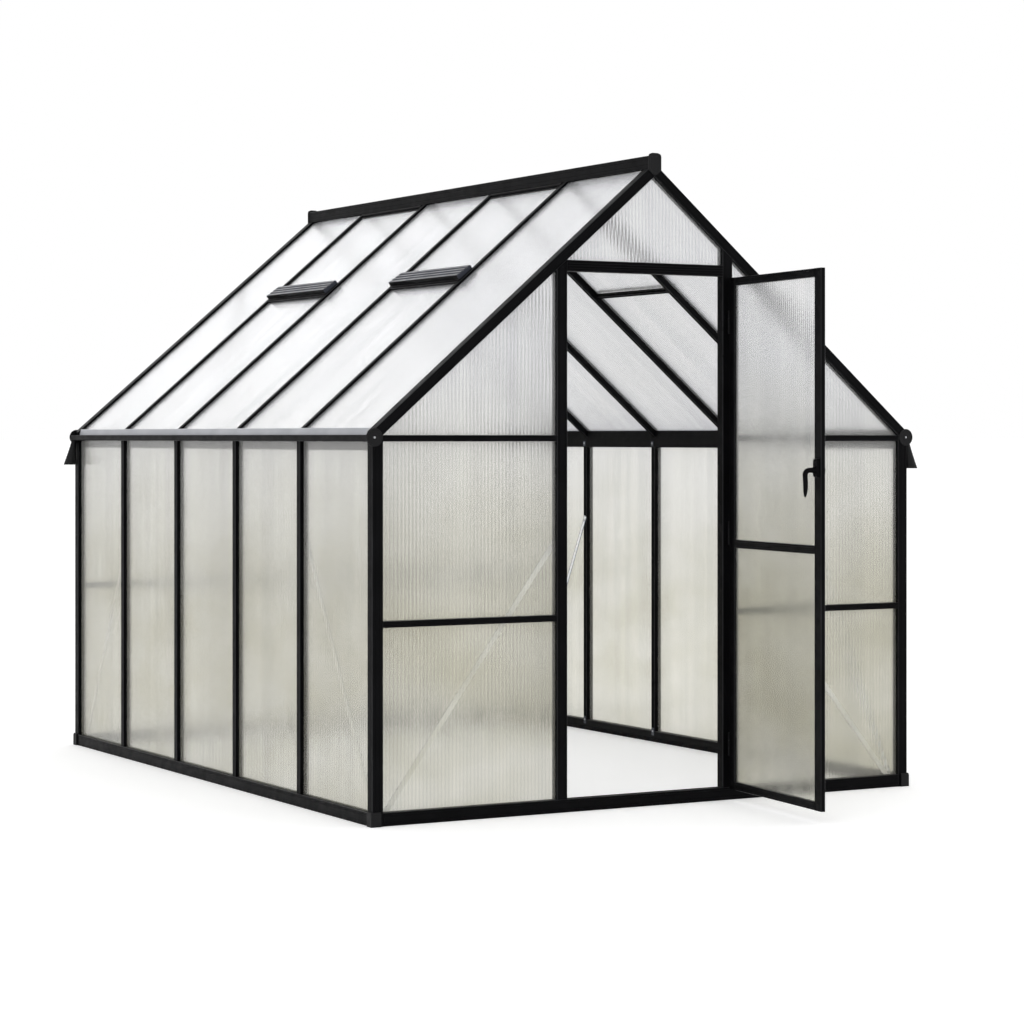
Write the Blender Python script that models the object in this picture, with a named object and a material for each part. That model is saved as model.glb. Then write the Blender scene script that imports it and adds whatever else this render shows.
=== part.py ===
# Walk-in garden greenhouse: black aluminium frame, twin-wall sheets, one hinged door, four roof vents.
# Metres. X runs along the front gable, Y runs from the front to the rear, Z is up.
# The door stands open and the four roof vents are shut.
import math

import bmesh
import bpy
from mathutils import Matrix, Vector

# ---- main sizes ----
WIDTH = 2.44
LENGTH = 3.10
BAYS = 5
STUD_SHIFT = 0.022
APEX_Z = 2.490
ROOF_RISE = 0.852
FRAME_DEPTH = 0.040
FRONT_Y = -FRAME_DEPTH / 2
REAR_Y = FRONT_Y + LENGTH
SIDE_X = WIDTH / 2
GAP = 0.0003
CUT_OVER = 0.01

# ---- profiles ----
SILL_HEIGHT = 0.050
CORNER_WIDTH = 0.045
SHOE_OVER = 0.007
SHOE_WIDTH = 0.041
SHOE_DEPTH = 0.039
SHOE_HEIGHT = 0.054
BAR_WIDTH = 0.030
ROOF_BAR_WIDTH = 0.022
RAIL_LOW = 1.412
RAIL_TOP = 1.4355
MID_RAIL_LOW = 0.728
MID_RAIL_TOP = 0.752
BRACE_WIDTH = 0.020
BRACE_THICK = 0.003
BRACE_LOW_Z = 0.033
BRACE_HIGH_Z = 1.040
BRACE_FOOT_IN = 0.019
BRACE_HEAD_IN = 0.020
BRACE_HEAD_OVER = 0.006

# ---- sheets: depth of the two faces behind the outer plane of the frame ----
SHEET_OUT = 0.016
SHEET_IN = 0.022
ROOF_SHEET_OUT = 0.010
ROOF_SHEET_IN = 0.016
STRIP = 0.010

# ---- eave beam with its trough ----
TROUGH_OUT = 0.024
TROUGH_WALL = 0.002
TROUGH_FLOOR = 0.0025
TROUGH_TOP = 1.436
BEAM_OUT_X = 1.212
BEAM_RIDGE_X = 1.188
BEAM_IN_X = 1.186
BEAM_TOP = 1.4565
END_DISC = 0.034
END_DISC_Z = 1.427
END_THICK = 0.004

# ---- outlet spouts ----
SPOUT_LOW = 1.300
SPOUT_TOP_RADIUS = 0.0115
SPOUT_MOUTH_RADIUS = 0.030
SPOUT_WALL = 0.002
SPOUT_TOP_X = 0.0122
SPOUT_MOUTH_X = 0.0315
SPOUT_SET_IN = 0.020

# ---- ridge ----
RIDGE_HALF = 0.026
RIDGE_LOW = 2.4679
RIDGE_TOP = 2.518
HALF_CAP = [(0.006, 2.443), (0.029, 2.462), (0.029, 2.514), (0.024, 2.525), (0.012, 2.529)]

# ---- doorway in the front gable ----
DOOR_LEFT_X = -0.392
DOOR_RIGHT_X = 0.317
DOOR_POST_WIDTH = 0.045
HEADER_LOW = 2.060
HEADER_TOP = 2.103

# ---- door leaf, measured from its hinge line ----
HINGE_X = 0.343
HINGE_Y = FRONT_Y - 0.004
DOOR_OPEN_DEG = 83.6
LEAF_WIDTH = 0.735
LEAF_THICK = 0.018
LEAF_LOW = 0.045
LEAF_TOP = 2.054
STILE = 0.050
LEAF_RAIL = 0.032
LEAF_MID_LOW = 0.994
LEAF_SHEET_OUT = 0.012
LEAF_SHEET_IN = 0.006
HANDLE_Z = 1.306
HANDLE_FROM_EDGE = 0.025
PLATE_HALF = 0.0175
PLATE_BELOW = 0.027
PLATE_ABOVE = 0.043
PLATE_THICK = 0.008
SPINDLE_RADIUS = 0.007
LEVER_REACH = 0.042
LEVER_DROP = 0.100
LEVER_THICK = 0.016
LEVER_TIP = 0.003
LEVER_TAPER = 0.012
KNOB_RADIUS = 0.015
KNOB_THICK = 0.006

# ---- rear gable ----
REAR_POST_X = 0.377
REAR_POST_WIDTH = 0.036

# ---- roof vents, measured down the slope (u) and square to it (n) ----
VENT_BAYS = {"front": 1, "rear": 3}
VENT_AXIS_U = 0.045
VENT_AXIS_N = -0.004
VENT_HALF_WIDTH = 0.296
VENT_RAIL_HALF = 0.302
VENT_END_GAP = 0.001
VENT_WEB_INTO = 0.002
VENT_LENGTH = 0.624
VENT_RAIL = {"left": 0.076, "right": 0.012}
VENT_GROOVES = {"left": 3, "right": 0}
VENT_GROOVE = 0.003
VENT_SIDE = 0.009
VENT_LOW_N = -0.0170
VENT_SIDE_TOP_N = -0.0060
VENT_SHEET_LOW_N = -0.0150
VENT_SHEET_TOP_N = -0.0090
VENT_RAIL_LOW_N = 0.0005
VENT_TOP_N = {"left": 0.020, "right": 0.012}
VENT_KNUCKLE = 0.0070
CROSSBAR_U = 0.669
CROSSBAR_WIDTH = 0.012
CROSSBAR_LOW_N = -0.026
STAY_SLOPES = ["left"]
STAY_U = 0.650
STAY_N = -0.0245
STAY_LENGTH = 0.260
STAY_WIDTH = 0.012
STAY_THICK = 0.004
STAY_PIN_RADIUS = 0.0025
STAY_HOLE_RADIUS = 0.0028
STAY_FIRST_HOLE = 0.060
STAY_HOLE_STEP = 0.045
STAY_HOLES = 4
LUG_HALF = 0.007
LUG_THICK = 0.004

THETA = math.atan(ROOF_RISE)
COS = math.cos(THETA)
SIN = math.sin(THETA)

for old in list(bpy.data.objects):
    bpy.data.objects.remove(old, do_unlink=True)

PARTS = bpy.data.collections.new("walk_in_greenhouse")
CUTTERS = bpy.data.collections.new("cutters")
bpy.context.scene.collection.children.link(PARTS)
bpy.context.scene.collection.children.link(CUTTERS)


def paint(name, colour, roughness, metallic):
    """One plain Principled material."""
    made = bpy.data.materials.new(name)
    made.use_nodes = True
    shader = made.node_tree.nodes["Principled BSDF"]
    shader.inputs["Base Color"].default_value = (*colour, 1.0)
    shader.inputs["Roughness"].default_value = roughness
    shader.inputs["Metallic"].default_value = metallic
    return made


BLACK = paint("black_coated_aluminium", (0.012, 0.012, 0.014), 0.45, 0.0)
SHEET = paint("twin_wall_polycarbonate", (0.72, 0.73, 0.74), 0.35, 0.0)
SILVER = paint("mill_aluminium", (0.62, 0.63, 0.65), 0.35, 1.0)
RIB = paint("blue_grey_aluminium", (0.20, 0.22, 0.25), 0.4, 0.0)
PLASTIC = paint("black_moulded_plastic", (0.010, 0.010, 0.011), 0.55, 0.0)


def add(name, mesh, material, location=(0, 0, 0), parent=None):
    """A part as its own object."""
    if material:
        mesh.materials.clear()
        mesh.materials.append(material)
    made = bpy.data.objects.new(name, mesh)
    made.location = location
    made.parent = parent
    PARTS.objects.link(made)
    return made


def cutter(name, mesh, location=(0, 0, 0), parent=None):
    """A shape used only inside a Boolean."""
    made = bpy.data.objects.new(name, mesh)
    made.location = location
    made.parent = parent
    made.hide_render = True
    made.display_type = "WIRE"
    CUTTERS.objects.link(made)
    return made


def box_mesh(low, high, about=(0, 0, 0)):
    """A box between two corners, with its coordinates taken about a point."""
    shape = bmesh.new()
    bmesh.ops.create_cube(shape, size=1.0)
    size = [high[i] - low[i] for i in range(3)]
    middle = [(high[i] + low[i]) / 2 - about[i] for i in range(3)]
    bmesh.ops.scale(shape, vec=size, verts=shape.verts)
    bmesh.ops.translate(shape, vec=middle, verts=shape.verts)
    mesh = bpy.data.meshes.new("box")
    shape.to_mesh(mesh)
    shape.free()
    return mesh


def outline_mesh(outline, low, high):
    """An outline given as X and Z pairs, drawn out along Y between two values."""
    curve = bpy.data.curves.new("outline", "CURVE")
    curve.dimensions = "2D"
    curve.fill_mode = "BOTH"
    curve.extrude = (high - low) / 2
    run = curve.splines.new("POLY")
    run.points.add(len(outline) - 1)
    for point, (x, z) in zip(run.points, outline):
        point.co = (x, z, 0, 1)
    run.use_cyclic_u = True
    holder = bpy.data.objects.new("outline", curve)
    PARTS.objects.link(holder)
    mesh = bpy.data.meshes.new_from_object(holder)
    bpy.data.objects.remove(holder, do_unlink=True)
    shape = bmesh.new()
    shape.from_mesh(mesh)
    turn = Matrix.Translation((0, (low + high) / 2, 0)) @ Matrix.Rotation(math.pi / 2, 4, "X")
    bmesh.ops.transform(shape, matrix=turn, verts=shape.verts)
    bmesh.ops.remove_doubles(shape, verts=shape.verts, dist=0.00002)
    bmesh.ops.recalc_face_normals(shape, faces=shape.faces)
    shape.to_mesh(mesh)
    shape.free()
    return mesh


def round_mesh(radius_low, radius_high, low, high, axis, sides=16, centre=(0, 0)):
    """A round bar or cone along an axis, from low to high."""
    shape = bmesh.new()
    bmesh.ops.create_cone(
        shape,
        cap_ends=True,
        segments=sides,
        radius1=radius_low,
        radius2=radius_high,
        depth=high - low,
    )
    bmesh.ops.translate(shape, vec=(0, 0, (high + low) / 2), verts=shape.verts)
    if axis == "Y":
        bmesh.ops.rotate(shape, matrix=Matrix.Rotation(-math.pi / 2, 3, "X"), verts=shape.verts)
        bmesh.ops.translate(shape, vec=(centre[0], 0, centre[1]), verts=shape.verts)
    else:
        bmesh.ops.translate(shape, vec=(centre[0], centre[1], 0), verts=shape.verts)
    for face in shape.faces:
        face.smooth = True
    mesh = bpy.data.meshes.new("round")
    shape.to_mesh(mesh)
    shape.free()
    mesh.set_sharp_from_angle(angle=math.radians(35))
    return mesh


def combine(target, others, operation):
    """Adds one live Boolean per operand."""
    for other in others:
        step = target.modifiers.new(operation.lower(), "BOOLEAN")
        step.operation = operation
        step.solver = "EXACT"
        step.object = other
    return target


def bar(name, low, high, material=BLACK):
    """A straight box section placed by its middle."""
    middle = [(low[i] + high[i]) / 2 for i in range(3)]
    return add(name, box_mesh(low, high, middle), material, middle)


def roof_z(x, below=0.0):
    """Height of the roof plane, or of a plane parallel to it and lower."""
    return APEX_Z - ROOF_RISE * abs(x) - below / COS


def sided(outline, side):
    """An outline for the right-hand side, mirrored when the side is -1."""
    return [(side * x, z) for x, z in outline]


SIDES = {"left": -1, "right": 1}
STUD_Y = [FRONT_Y + STUD_SHIFT + LENGTH * k / BAYS for k in range(1, BAYS)]
INNER_FRONT_Y = FRONT_Y + FRAME_DEPTH
INNER_REAR_Y = REAR_Y - FRAME_DEPTH
CORNER_IN_X = SIDE_X - CORNER_WIDTH

# ---- base ----
for end, low_y in {"front": FRONT_Y, "rear": INNER_REAR_Y}.items():
    bar(
        f"sill_{end}",
        (-CORNER_IN_X + GAP, low_y, 0),
        (CORNER_IN_X - GAP, low_y + FRAME_DEPTH, SILL_HEIGHT),
    )
for label, side in SIDES.items():
    inner, outer = sorted((side * (SIDE_X - FRAME_DEPTH), side * SIDE_X))
    bar(
        f"sill_{label}",
        (inner, INNER_FRONT_Y + GAP, 0),
        (outer, INNER_REAR_Y - GAP, SILL_HEIGHT),
    )

# ---- corner posts, each with its moulded shoe ----
for end, low_y in {"front": FRONT_Y, "rear": INNER_REAR_Y}.items():
    for label, side in SIDES.items():
        outline = [
            (CORNER_IN_X, 0),
            (SIDE_X, 0),
            (SIDE_X, roof_z(SIDE_X, FRAME_DEPTH) - GAP),
            (CORNER_IN_X, roof_z(CORNER_IN_X, FRAME_DEPTH) - GAP),
        ]
        post = add(
            f"post_{end}_{label}",
            outline_mesh(sided(outline, side), low_y, low_y + FRAME_DEPTH),
            BLACK,
        )
        outward = -1 if end == "front" else 1
        face_y = FRONT_Y if end == "front" else REAR_Y
        shoe_y = sorted((face_y + outward * SHOE_OVER, face_y - outward * (SHOE_DEPTH - SHOE_OVER)))
        shoe_x = sorted((side * (SIDE_X + SHOE_OVER), side * (SIDE_X + SHOE_OVER - SHOE_WIDTH)))
        shoe = cutter(
            f"shoe_{end}_{label}",
            box_mesh((shoe_x[0], shoe_y[0], 0), (shoe_x[1], shoe_y[1], SHOE_HEIGHT)),
        )
        combine(post, [shoe], "UNION")

# ---- eave beams with trough and end discs ----
for label, side in SIDES.items():
    trough_out = SIDE_X + TROUGH_OUT
    trough_in = SIDE_X + GAP
    disc_low = FRONT_Y - GAP - END_THICK
    disc_high = REAR_Y + GAP + END_THICK
    trough = [
        (trough_in, RAIL_LOW),
        (trough_out - TROUGH_WALL, RAIL_LOW),
        (trough_out, RAIL_LOW + TROUGH_WALL),
        (trough_out, TROUGH_TOP),
        (trough_out - TROUGH_WALL, TROUGH_TOP),
        (trough_out - TROUGH_WALL, RAIL_LOW + TROUGH_FLOOR),
        (trough_in + TROUGH_WALL, RAIL_LOW + TROUGH_FLOOR),
        (trough_in + TROUGH_WALL, TROUGH_TOP),
        (trough_in, TROUGH_TOP),
    ]
    gutter = add(
        f"gutter_{label}",
        outline_mesh(sided(trough, side), disc_low + END_THICK / 2, disc_high - END_THICK / 2),
        BLACK,
    )
    beam = [
        (BEAM_IN_X, RAIL_LOW + GAP),
        (trough_in + TROUGH_WALL / 2, RAIL_LOW + GAP),
        (trough_in + TROUGH_WALL / 2, TROUGH_TOP - GAP),
        (BEAM_OUT_X, TROUGH_TOP - GAP),
        (BEAM_RIDGE_X, BEAM_TOP),
        (BEAM_IN_X, BEAM_TOP),
    ]
    pieces = [
        cutter(
            f"beam_{label}",
            outline_mesh(sided(beam, side), INNER_FRONT_Y + GAP, INNER_REAR_Y - GAP),
        )
    ]
    disc_centre = (side * BEAM_OUT_X, END_DISC_Z)
    for end, (low, high) in {
        "front": (disc_low, disc_low + END_THICK),
        "rear": (disc_high - END_THICK, disc_high),
    }.items():
        disc = cutter(
            f"disc_{end}_{label}",
            round_mesh(END_DISC, END_DISC, low, high, "Y", 32, disc_centre),
        )
        pieces.append(disc)
    outlet_y = REAR_Y - SPOUT_SET_IN if label == "left" else FRONT_Y + SPOUT_SET_IN
    outlet_x = side * (SIDE_X + SPOUT_TOP_X)
    outlet = cutter(
        f"outlet_{label}",
        round_mesh(
            SPOUT_TOP_RADIUS - SPOUT_WALL,
            SPOUT_TOP_RADIUS - SPOUT_WALL,
            RAIL_LOW - CUT_OVER,
            RAIL_LOW + TROUGH_FLOOR + TROUGH_WALL,
            "Z",
            16,
            (outlet_x, outlet_y),
        ),
    )
    combine(gutter, [outlet], "DIFFERENCE")
    combine(gutter, pieces, "UNION")

    # flared spout under the outlet, leaning outwards
    spout_top = RAIL_LOW - GAP
    lean = side * (SPOUT_MOUTH_X - SPOUT_TOP_X) / (spout_top - SPOUT_LOW)
    walls = []
    for cut in (0.0, SPOUT_WALL):
        over = SPOUT_WALL if cut else 0.0
        mesh = round_mesh(
            SPOUT_MOUTH_RADIUS - cut,
            SPOUT_TOP_RADIUS - cut,
            SPOUT_LOW - over - spout_top,
            over,
            "Z",
            24,
        )
        for vertex in mesh.vertices:
            vertex.co.x -= lean * vertex.co.z
        walls.append(mesh)
    place = (outlet_x, outlet_y, spout_top)
    spout = add(f"spout_{label}", walls[0], PLASTIC, place)
    combine(spout, [cutter(f"spout_bore_{label}", walls[1], place)], "DIFFERENCE")

# ---- ridge beam and its end caps ----
bar("ridge_beam", (-RIDGE_HALF, FRONT_Y, RIDGE_LOW), (RIDGE_HALF, REAR_Y, RIDGE_TOP))
cap_outline = HALF_CAP + [(-x, z) for x, z in reversed(HALF_CAP)]
for end, low in {"front": FRONT_Y - GAP - END_THICK, "rear": REAR_Y + GAP}.items():
    add(f"ridge_cap_{end}", outline_mesh(cap_outline, low, low + END_THICK), PLASTIC)


def sloped(depth, low_x=SIDE_X):
    """Outline of a bar under the roof plane, from the eave to the middle under the ridge."""
    return [
        (low_x, roof_z(low_x)),
        (RIDGE_HALF + GAP, roof_z(RIDGE_HALF + GAP)),
        (RIDGE_HALF + GAP, RIDGE_LOW - GAP),
        (GAP, RIDGE_LOW - GAP),
        (GAP, roof_z(GAP, depth)),
        (low_x, roof_z(low_x, depth)),
    ]


# ---- gable rafters ----
for end, low_y in {"front": FRONT_Y, "rear": INNER_REAR_Y}.items():
    for label, side in SIDES.items():
        add(
            f"rafter_{end}_{label}",
            outline_mesh(sided(sloped(FRAME_DEPTH), side), low_y, low_y + FRAME_DEPTH),
            BLACK,
        )

# ---- side walls: studs and one sheet that reaches past them at its top and bottom edges ----
sheet_low_z = SILL_HEIGHT + GAP
sheet_high_z = RAIL_LOW - GAP
for label, side in SIDES.items():
    inner, outer = sorted((side * (SIDE_X - SHEET_IN), side * (SIDE_X - SHEET_OUT)))
    strips = []
    for place, (low, high) in {
        "low": (SILL_HEIGHT - GAP, sheet_low_z + STRIP + GAP),
        "high": (sheet_high_z - STRIP - GAP, RAIL_LOW + GAP),
    }.items():
        strips.append(
            cutter(
                f"wall_strip_{place}_{label}",
                box_mesh((inner - GAP, 0, low), (outer + GAP, INNER_REAR_Y, high)),
            )
        )
    slots = []
    stud_in, stud_out = sorted((side * (SIDE_X - FRAME_DEPTH), side * SIDE_X))
    for number, y in enumerate(STUD_Y, 1):
        stud = bar(
            f"stud_{label}_{number}",
            (stud_in, y - BAR_WIDTH / 2, sheet_low_z),
            (stud_out, y + BAR_WIDTH / 2, sheet_high_z),
        )
        combine(stud, strips, "DIFFERENCE")
        slots.append(
            cutter(
                f"stud_slot_{label}_{number}",
                box_mesh(
                    (inner - CUT_OVER, y - BAR_WIDTH / 2 - GAP, sheet_low_z + STRIP),
                    (outer + CUT_OVER, y + BAR_WIDTH / 2 + GAP, sheet_high_z - STRIP),
                ),
            )
        )
    wall = bar(
        f"glazing_wall_{label}",
        (inner, INNER_FRONT_Y + GAP, sheet_low_z),
        (outer, INNER_REAR_Y - GAP, sheet_high_z),
        SHEET,
    )
    combine(wall, slots, "DIFFERENCE")


def slope_frame(name, side, y, u, n):
    """An empty on the slope: its X axis runs down the slope and its Z axis points outwards."""
    holder = bpy.data.objects.new(name, None)
    PARTS.objects.link(holder)
    holder.rotation_euler = (0, THETA, math.pi if side < 0 else 0)
    holder.location = (side * (u * COS + n * SIN), y, APEX_Z - u * SIN + n * COS)
    return holder


# ---- roof: bars joined in pairs by the crossbar under a vent, and one sheet per slope ----
SHEET_END_X = BEAM_IN_X - 2 * GAP
SHEET_TOP_X = 0.012
for label, side in SIDES.items():
    shadow_low = RAIL_LOW - 10 * CUT_OVER
    shadow_out = SIDE_X + 5 * CUT_OVER
    beam_shadow = [
        (BEAM_IN_X - GAP, shadow_low),
        (shadow_out, shadow_low),
        (shadow_out, TROUGH_TOP + GAP),
        (BEAM_OUT_X, TROUGH_TOP + GAP),
        (BEAM_RIDGE_X, BEAM_TOP + GAP),
        (BEAM_IN_X - GAP, BEAM_TOP + GAP),
    ]
    notch = cutter(f"eave_notch_{label}", outline_mesh(sided(beam_shadow, side), 0, INNER_REAR_Y))
    trim = []
    for place, (low_x, high_x) in {
        "eave": (SHEET_END_X - STRIP * COS, SHEET_END_X + 2 * GAP),
        "ridge": (SHEET_TOP_X - GAP, SHEET_TOP_X + STRIP * COS),
    }.items():
        strip = [
            (low_x - GAP, roof_z(low_x - GAP, ROOF_SHEET_OUT - GAP)),
            (high_x + GAP, roof_z(high_x + GAP, ROOF_SHEET_OUT - GAP)),
            (high_x + GAP, roof_z(high_x + GAP, ROOF_SHEET_IN + GAP)),
            (low_x - GAP, roof_z(low_x - GAP, ROOF_SHEET_IN + GAP)),
        ]
        trim.append(
            cutter(f"roof_strip_{place}_{label}", outline_mesh(sided(strip, side), 0, INNER_REAR_Y))
        )
    sheet = [
        (SHEET_TOP_X, roof_z(SHEET_TOP_X, ROOF_SHEET_OUT)),
        (SHEET_END_X, roof_z(SHEET_END_X, ROOF_SHEET_OUT)),
        (SHEET_END_X, roof_z(SHEET_END_X, ROOF_SHEET_IN)),
        (SHEET_TOP_X, roof_z(SHEET_TOP_X, ROOF_SHEET_IN)),
    ]
    roof = add(
        f"glazing_roof_{label}",
        outline_mesh(sided(sheet, side), INNER_FRONT_Y + GAP, INNER_REAR_Y - GAP),
        SHEET,
    )
    holes = []
    slot_low_x = SHEET_TOP_X + STRIP * COS
    slot_high_x = SHEET_END_X - STRIP * COS
    for number, y in enumerate(STUD_Y, 1):
        slot = [
            (slot_low_x, roof_z(slot_low_x, ROOF_SHEET_OUT - CUT_OVER)),
            (slot_high_x, roof_z(slot_high_x, ROOF_SHEET_OUT - CUT_OVER)),
            (slot_high_x, roof_z(slot_high_x, ROOF_SHEET_IN + CUT_OVER)),
            (slot_low_x, roof_z(slot_low_x, ROOF_SHEET_IN + CUT_OVER)),
        ]
        half = ROOF_BAR_WIDTH / 2 + GAP
        holes.append(
            cutter(f"roof_slot_{label}_{number}", outline_mesh(sided(slot, side), y - half, y + half))
        )
    for place, bay in VENT_BAYS.items():
        first, second = STUD_Y[bay - 1], STUD_Y[bay]
        frame = add(
            f"roof_bars_{label}_{place}",
            outline_mesh(
                sided(sloped(FRAME_DEPTH), side), first - ROOF_BAR_WIDTH / 2, first + ROOF_BAR_WIDTH / 2
            ),
            BLACK,
        )
        other = cutter(
            f"second_bar_{label}_{place}",
            outline_mesh(
                sided(sloped(FRAME_DEPTH), side), second - ROOF_BAR_WIDTH / 2, second + ROOF_BAR_WIDTH / 2
            ),
        )
        middle = (first + second) / 2
        span = second - first
        at_bar = slope_frame(f"crossbar_place_{label}_{place}", side, middle, CROSSBAR_U, 0)
        crossbar = cutter(
            f"crossbar_{label}_{place}",
            box_mesh((0, -span / 2, CROSSBAR_LOW_N), (CROSSBAR_WIDTH, span / 2, -GAP)),
            parent=at_bar,
        )
        combine(frame, [crossbar, other], "UNION")
        combine(frame, [notch] + trim, "DIFFERENCE")
        low_u = (slot_low_x + ROOF_SHEET_IN * SIN) / COS
        high_u = CROSSBAR_U + CROSSBAR_WIDTH + GAP
        at_hole = slope_frame(f"vent_hole_place_{label}_{place}", side, middle, 0, 0)
        half = span / 2
        holes.append(
            cutter(
                f"vent_hole_{label}_{place}",
                box_mesh(
                    (low_u, -half, -ROOF_SHEET_IN - CUT_OVER), (high_u, half, -ROOF_SHEET_OUT + CUT_OVER)
                ),
                parent=at_hole,
            )
        )
    combine(roof, holes, "DIFFERENCE")

# ---- front gable: door posts, header, rails and one sheet ----
front_sheet_y = (FRONT_Y + SHEET_OUT, FRONT_Y + SHEET_IN)
gable_strip = []
for label, side in SIDES.items():
    strip = [
        (0, roof_z(0, FRAME_DEPTH - GAP)),
        (SIDE_X, roof_z(SIDE_X, FRAME_DEPTH - GAP)),
        (SIDE_X, roof_z(SIDE_X, FRAME_DEPTH + STRIP) - 2 * GAP),
        (0, roof_z(0, FRAME_DEPTH + STRIP) - 2 * GAP),
    ]
    gable_strip.append(
        cutter(
            f"gable_strip_{label}",
            outline_mesh(sided(strip, side), front_sheet_y[0] - GAP, front_sheet_y[1] + GAP),
        )
    )


def gable_post(low_x, high_x, low_z, low_y, high_y, trim=0.0):
    """An upright whose top follows the underside of the rafter."""
    outline = [
        (low_x, low_z),
        (high_x, low_z),
        (high_x, roof_z(high_x, FRAME_DEPTH + trim) - GAP),
        (low_x, roof_z(low_x, FRAME_DEPTH + trim) - GAP),
    ]
    return outline_mesh(outline, low_y, high_y)


door_posts = {
    "left": (DOOR_LEFT_X - DOOR_POST_WIDTH, DOOR_LEFT_X),
    "right": (DOOR_RIGHT_X, DOOR_RIGHT_X + DOOR_POST_WIDTH),
}
front_slots = []
for label, (low_x, high_x) in door_posts.items():
    post = add(
        f"door_post_{label}",
        gable_post(low_x, high_x, SILL_HEIGHT + GAP, FRONT_Y, INNER_FRONT_Y),
        BLACK,
    )
    combine(post, gable_strip, "DIFFERENCE")
    front_slots.append(
        cutter(
            f"door_post_slot_{label}",
            gable_post(
                low_x - GAP, high_x + GAP, 0.0, FRONT_Y, INNER_FRONT_Y, STRIP
            ),
        )
    )
header = bar(
    "door_header",
    (DOOR_LEFT_X + GAP, FRONT_Y, HEADER_LOW),
    (DOOR_RIGHT_X - GAP, INNER_FRONT_Y, HEADER_TOP),
)
combine(header, gable_strip, "DIFFERENCE")
over_x = (APEX_Z - (FRAME_DEPTH + STRIP) / COS - 2 * GAP - HEADER_TOP) / ROOF_RISE
door_slot_left = DOOR_LEFT_X - STRIP
door_slot_right = DOOR_RIGHT_X + STRIP
front_slots.append(
    cutter(
        "doorway",
        outline_mesh(
            [
                (door_slot_left, 0.0),
                (door_slot_right, 0.0),
                (door_slot_right, HEADER_TOP + GAP),
                (-over_x, HEADER_TOP + GAP),
                (door_slot_left, roof_z(door_slot_left, FRAME_DEPTH + STRIP) - GAP),
            ],
            FRONT_Y,
            INNER_FRONT_Y,
        ),
    )
)
rail_ends = {
    "left": (-CORNER_IN_X + GAP, DOOR_LEFT_X - DOOR_POST_WIDTH - GAP),
    "right": (DOOR_RIGHT_X + DOOR_POST_WIDTH + GAP, CORNER_IN_X - GAP),
}
for label, (low_x, high_x) in rail_ends.items():
    forks = []
    for place, (a, b) in {
        "first": (low_x - GAP, low_x + STRIP + GAP),
        "second": (high_x - STRIP - GAP, high_x + GAP),
    }.items():
        forks.append(
            cutter(
                f"rail_fork_{label}_{place}",
                box_mesh(
                    (a, front_sheet_y[0] - GAP, MID_RAIL_LOW - CUT_OVER),
                    (b, front_sheet_y[1] + GAP, RAIL_TOP + CUT_OVER),
                ),
            )
        )
    for place, (low_z, high_z) in {
        "eave": (RAIL_LOW, RAIL_TOP),
        "mid": (MID_RAIL_LOW, MID_RAIL_TOP),
    }.items():
        rail = bar(
            f"front_rail_{place}_{label}",
            (low_x, FRONT_Y, low_z),
            (high_x, INNER_FRONT_Y, high_z),
        )
        combine(rail, forks, "DIFFERENCE")
        front_slots.append(
            cutter(
                f"rail_slot_{place}_{label}",
                box_mesh(
                    (low_x + STRIP, FRONT_Y, low_z - GAP),
                    (high_x - STRIP, INNER_FRONT_Y, high_z + GAP),
                ),
            )
        )


def gable_sheet(low_y, high_y):
    """A sheet that fills a gable between the sill, the corner posts and the rafters."""
    x = CORNER_IN_X - GAP
    outline = [
        (-x, SILL_HEIGHT + GAP),
        (x, SILL_HEIGHT + GAP),
        (x, roof_z(x, FRAME_DEPTH) - GAP),
        (0, roof_z(0, FRAME_DEPTH) - GAP),
        (-x, roof_z(x, FRAME_DEPTH) - GAP),
    ]
    return outline_mesh(outline, low_y, high_y)


front_sheet = add("glazing_front", gable_sheet(*front_sheet_y), SHEET)
combine(front_sheet, front_slots, "DIFFERENCE")

# ---- rear gable: one sheet, with a ladder of posts and rails on its inner side ----
add("glazing_rear", gable_sheet(REAR_Y - SHEET_IN, REAR_Y - SHEET_OUT), SHEET)
ladder_y = (INNER_REAR_Y, REAR_Y - SHEET_IN - GAP)
rear_posts = {
    "left": (-REAR_POST_X - REAR_POST_WIDTH / 2, -REAR_POST_X + REAR_POST_WIDTH / 2),
    "right": (REAR_POST_X - REAR_POST_WIDTH / 2, REAR_POST_X + REAR_POST_WIDTH / 2),
}
rear_frame = add(
    "rear_frame",
    gable_post(*rear_posts["left"], SILL_HEIGHT + GAP, *ladder_y),
    BLACK,
)
rungs = [
    cutter(
        "rear_post_right",
        gable_post(*rear_posts["right"], SILL_HEIGHT + GAP, *ladder_y),
    )
]
for place, (low_z, high_z) in {
    "eave": (RAIL_LOW, RAIL_TOP),
    "mid": (MID_RAIL_LOW, MID_RAIL_TOP),
}.items():
    rungs.insert(
        0,
        cutter(
            f"rear_rail_{place}",
            box_mesh(
                (-CORNER_IN_X + GAP, ladder_y[0] + GAP, low_z),
                (CORNER_IN_X - GAP, ladder_y[1] - GAP, high_z),
            ),
        ),
    )
combine(rear_frame, rungs, "UNION")


def brace(name, start, finish, thin_axis):
    """A flat diagonal bar between two points; its thin side faces along X or Y."""
    start, finish = Vector(start), Vector(finish)
    along = (finish - start).normalized()
    thin = Vector((1, 0, 0)) if thin_axis == "X" else Vector((0, 1, 0))
    across = thin.cross(along)
    length = (finish - start).length
    mesh = box_mesh(
        (-length / 2, -BRACE_THICK / 2, -BRACE_WIDTH / 2),
        (length / 2, BRACE_THICK / 2, BRACE_WIDTH / 2),
    )
    made = add(name, mesh, SILVER, (start + finish) / 2)
    turn = Matrix((along, thin, -across)).transposed()
    made.rotation_euler = turn.to_euler()


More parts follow.
